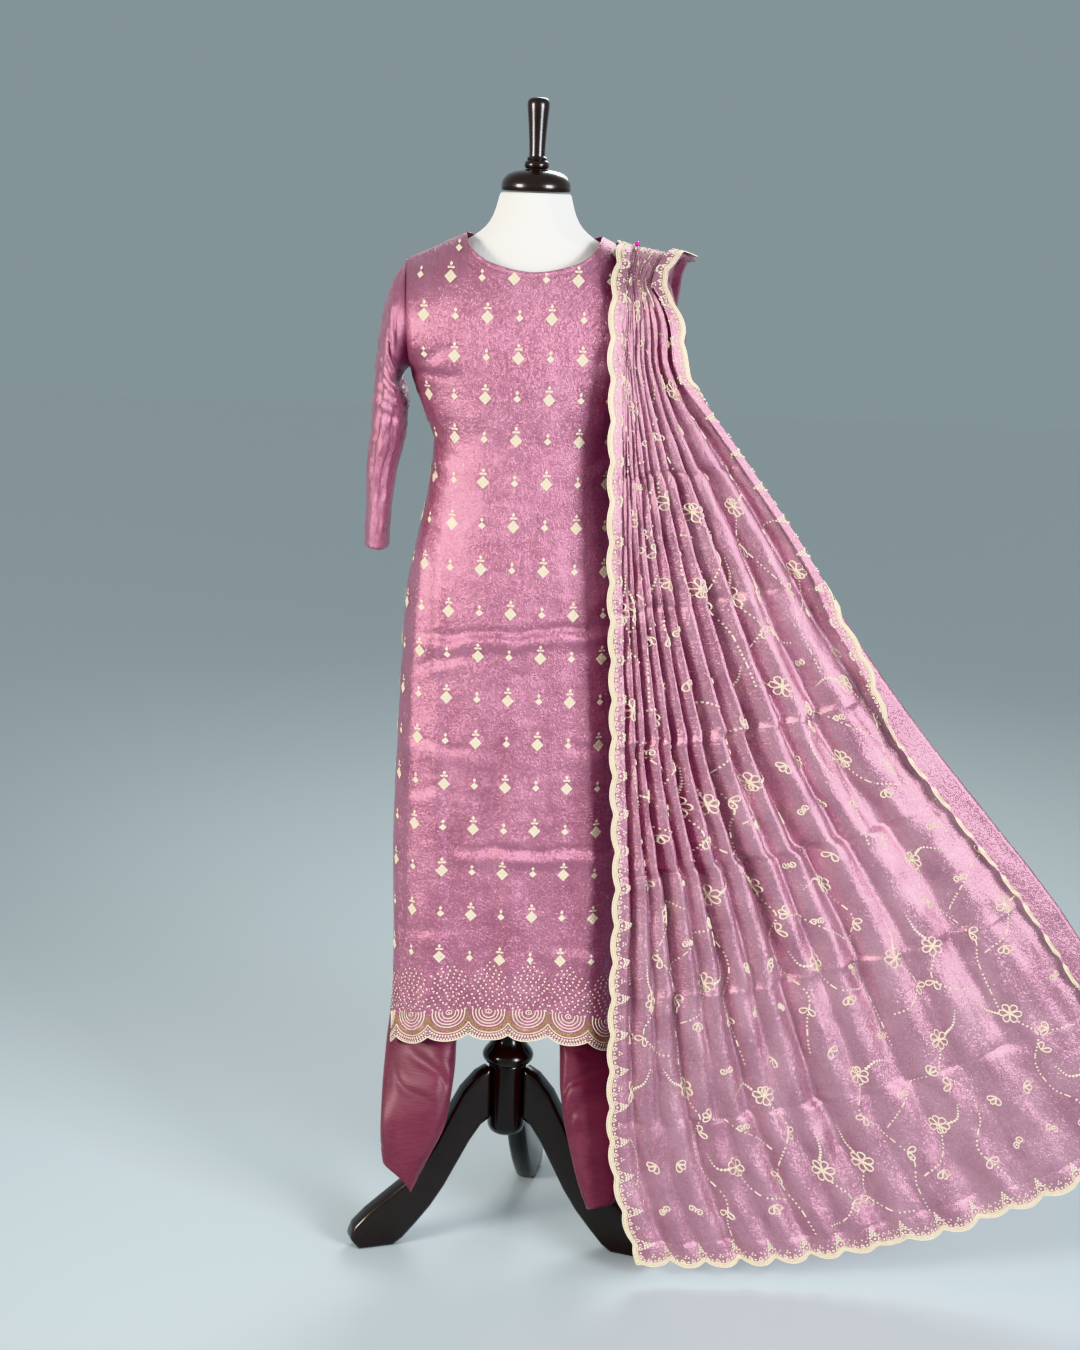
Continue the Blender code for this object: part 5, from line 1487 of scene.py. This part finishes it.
def edging(length, end):
    """The edging along an edge, as (along it, inward from its scalloped line) places."""
    stamps = []
    line = np.arange(0.002, length - 0.002, 0.0045)
    for inward, width, rise, used in BRAID:
        stamps.append(cord(np.column_stack([line, np.full(len(line), inward * MM)]), width * MM, rise * MM,
                           stitched=used))
    for along in np.arange(0.004, length - 0.003, BRAID_BEAD_PITCH):
        stamps.append(bead(along, 3.7 * MM, 1.45 * MM))
    for number in range(int(length / CONE_PITCH)):
        along = (number + 0.5) * CONE_PITCH
        corners = np.array([(-3.0, 8.8), (0, 8.6), (3.0, 8.8), (1.5, 11.2), (0, 13.6), (-1.5, 11.2)]) * MM
        stamps.append(cord(corners + (along, 0), 1.7 * MM, 1.1 * MM, closed=True))
        stamps.append(bead(along + CONE_PITCH / 2, 10.4 * MM, 1.6 * MM))
    # A cone of beads points inward from every cusp, and three beads lie in every scallop.
    for number in range(1, int(length / SIDE_SCALLOP) + 1):
        cusp = number * SIDE_SCALLOP
        for row, beads in enumerate((4, 3, 2, 1)):
            for k in range(beads):
                sideways = (k - (beads - 1) / 2) * 3.6 * MM
                stamps.append(bead(cusp + sideways, (16.2 + 3.5 * row) * MM, 1.7 * MM))
        for x, y in ((-1.9, 17.4), (1.9, 17.4), (0, 20.6)):
            stamps.append(bead(cusp - SIDE_SCALLOP / 2 + x * MM, y * MM, 1.25 * MM))
        if end:
            for x, y in ((-13, 15.6), (-17, 19.6), (13, 15.6), (17, 19.6), (-8.5, 18.5), (8.5, 18.5)):
                stamps.append(bead(cusp + x * MM, y * MM, 1.2 * MM))
    points, faces, threads = join(*stamps)
    keep = (points[faces][:, :, 0].min(axis=1) > 0) & (points[faces][:, :, 0].max(axis=1) < length)
    return points, faces[keep], threads[keep]


def edge_work():
    """The edging on all four edges, taken to the stole's flat places."""
    points, faces, threads = edging(FRONT_LENGTH + BACK_LENGTH, end=False)
    run, inward, rise = points[:, 0] - BACK_LENGTH, points[:, 1], points[:, 2]
    left = np.column_stack([inward + side_inset(run), run, rise]), faces[:, ::-1], threads
    right = np.column_stack([FULL_WIDTH - inward - side_inset(run), run, rise]), faces, threads
    points, faces, threads = edging(FULL_WIDTH, end=True)
    a, inward, rise = points.T
    front = np.column_stack([a, FRONT_LENGTH - inward - end_inset(a), rise]), faces[:, ::-1], threads
    back = np.column_stack([a, inward + end_inset(a) - BACK_LENGTH, rise]), faces, threads
    return join(left, right, front, back)


flowers = sew("dupatta_flowers_and_vines", repeat_design(), dupatta_surface, -1, turned_over=True)
edges = sew("dupatta_edging", edge_work(), dupatta_surface, -1, turned_over=True)

# ---------------------------------------------------------------- pin
# A dressmaker's pin holds the pleats to the shoulder: a moulded plastic ball on a steel shaft,
# pushed down through every layer into the form's padding.

PIN_HEAD, PIN_RADIUS = np.array((0.139, -0.030, 1.4625)) + AXIS, 0.0038
pin_plastic, _, _ = principled("magenta_moulded_plastic", Base_Color=srgb("#C2188F"), Roughness=0.22,
                               IOR=1.49, Coat_Weight=0.5)
bpy.ops.object.select_all(action="DESELECT")
bpy.ops.mesh.primitive_uv_sphere_add(segments=24, ring_count=16, radius=PIN_RADIUS, location=tuple(PIN_HEAD))
pin_head = bpy.context.object
pin_head.name = "pin_head"
bpy.ops.transform.resize(value=(1, 1, 0.94))
finish_piece(pin_head, pin_plastic, "pin_head", "dupatta_pin", smooth=60)
pin_steel, _, _ = principled("bright_steel_pin_wire", Base_Color=srgb("#C9CCD0"), Roughness=0.18,
                             Metallic=1.0)
shaft_vector = mathutils.Vector((0.008, -0.006, -0.012))
bpy.ops.object.select_all(action="DESELECT")
bpy.ops.mesh.primitive_cylinder_add(
    vertices=10, radius=0.0005, depth=shaft_vector.length,
    location=tuple(mathutils.Vector(PIN_HEAD) + shaft_vector / 2),
    rotation=shaft_vector.to_track_quat("Z", "Y").to_euler())
shaft = bpy.context.object
shaft.name = "pin_shaft"
finish_piece(shaft, pin_steel, "pin_head", smooth=60)

# ---------------------------------------------------------------- studio
# A pale painted floor under an even grey sky, lit by three softboxes: a key from the front left, a
# fill from the front right, and a rim light from behind.

FLOOR_TONE, EVEN_LIGHT, EVEN_STRENGTH = srgb("#BEC8CB"), srgb("#C6CFD2"), 0.86
# The far floor is this much brighter than the even light alone would make it.
FAR_FLOOR_SHARE = 1.07
floor_finish, _, _ = principled("pale_painted_studio_floor", Base_Color=FLOOR_TONE, Roughness=0.85)
bpy.ops.object.select_all(action="DESELECT")
bpy.ops.mesh.primitive_plane_add(size=24, location=(AXIS[0], AXIS[1], 0))
floor = bpy.context.object
floor.name = "studio_floor"
floor.data.materials.append(floor_finish)

sky = bpy.data.worlds.new("studio sky")
sky.use_nodes = True
# The camera sees the backdrop in the far floor's own tone, so no horizon shows.
seen = node(sky.node_tree, "ShaderNodeBackground", Strength=EVEN_STRENGTH * FAR_FLOOR_SHARE)
seen.inputs["Color"].default_value = (*[f * e for f, e in zip(FLOOR_TONE[:3], EVEN_LIGHT)], 1.0)
even = sky.node_tree.nodes["Background"]
even.inputs["Color"].default_value = EVEN_LIGHT
even.inputs["Strength"].default_value = EVEN_STRENGTH
path = node(sky.node_tree, "ShaderNodeLightPath")
either = node(sky.node_tree, "ShaderNodeMixShader",
              [("Fac", path, "Is Camera Ray"), (1, even, "Background"), (2, seen, "Background")])
sky.node_tree.links.new(either.outputs["Shader"], sky.node_tree.nodes["World Output"].inputs["Surface"])
bpy.context.scene.world = sky
bpy.context.scene.view_settings.view_transform = "Khronos PBR Neutral"


# A grid on each softbox keeps its light to this angle.
SOFTBOX_SPREAD = math.radians(70)


def softbox(name, place, aim, size, power, colour):
    """A square softbox lamp that faces a point."""
    data = bpy.data.lights.new(name, "AREA")
    data.shape, data.size, data.energy = "SQUARE", size, power
    data.color = srgb(colour)[:3]
    data.spread = SOFTBOX_SPREAD
    lamp = bpy.data.objects.new(name, data)
    lamp.location = place
    direction = mathutils.Vector(aim) - mathutils.Vector(place)
    lamp.rotation_euler = direction.to_track_quat("-Z", "Y").to_euler()
    lamp.visible_camera = False
    bpy.context.collection.objects.link(lamp)


CENTRE = (AXIS[0] + 0.15, AXIS[1], 0.9)
softbox("key", (AXIS[0] - 2.7, AXIS[1] - 1.9, 1.6), CENTRE, 1.2, 21, "#FFF9F2")
softbox("fill", (AXIS[0] + 2.5, AXIS[1] - 2.5, 1.6), CENTRE, 1.4, 26, "#F6F9FF")
softbox("rim", (AXIS[0] + 1.2, AXIS[1] + 4.6, 4.0), CENTRE, 2.6, 25, "#FFFFFF")

# The camera stands 3 m in front at head height, tipped down, and leans a little.
CAMERA_DOWN, CAMERA_LEAN = math.radians(12.84), math.radians(1.97)
lens = bpy.data.cameras.new("camera")
lens.lens, lens.sensor_width = 57.7, 36.0
camera = bpy.data.objects.new("camera", lens)
camera.matrix_world = (
    mathutils.Matrix.Translation((AXIS[0] + 0.028, AXIS[1] - 3.0, 1.540))
    @ mathutils.Matrix.Rotation(math.pi / 2 - CAMERA_DOWN, 4, "X")
    @ mathutils.Matrix.Rotation(CAMERA_LEAN, 4, "Z")
)
bpy.context.collection.objects.link(camera)
bpy.context.scene.camera = camera
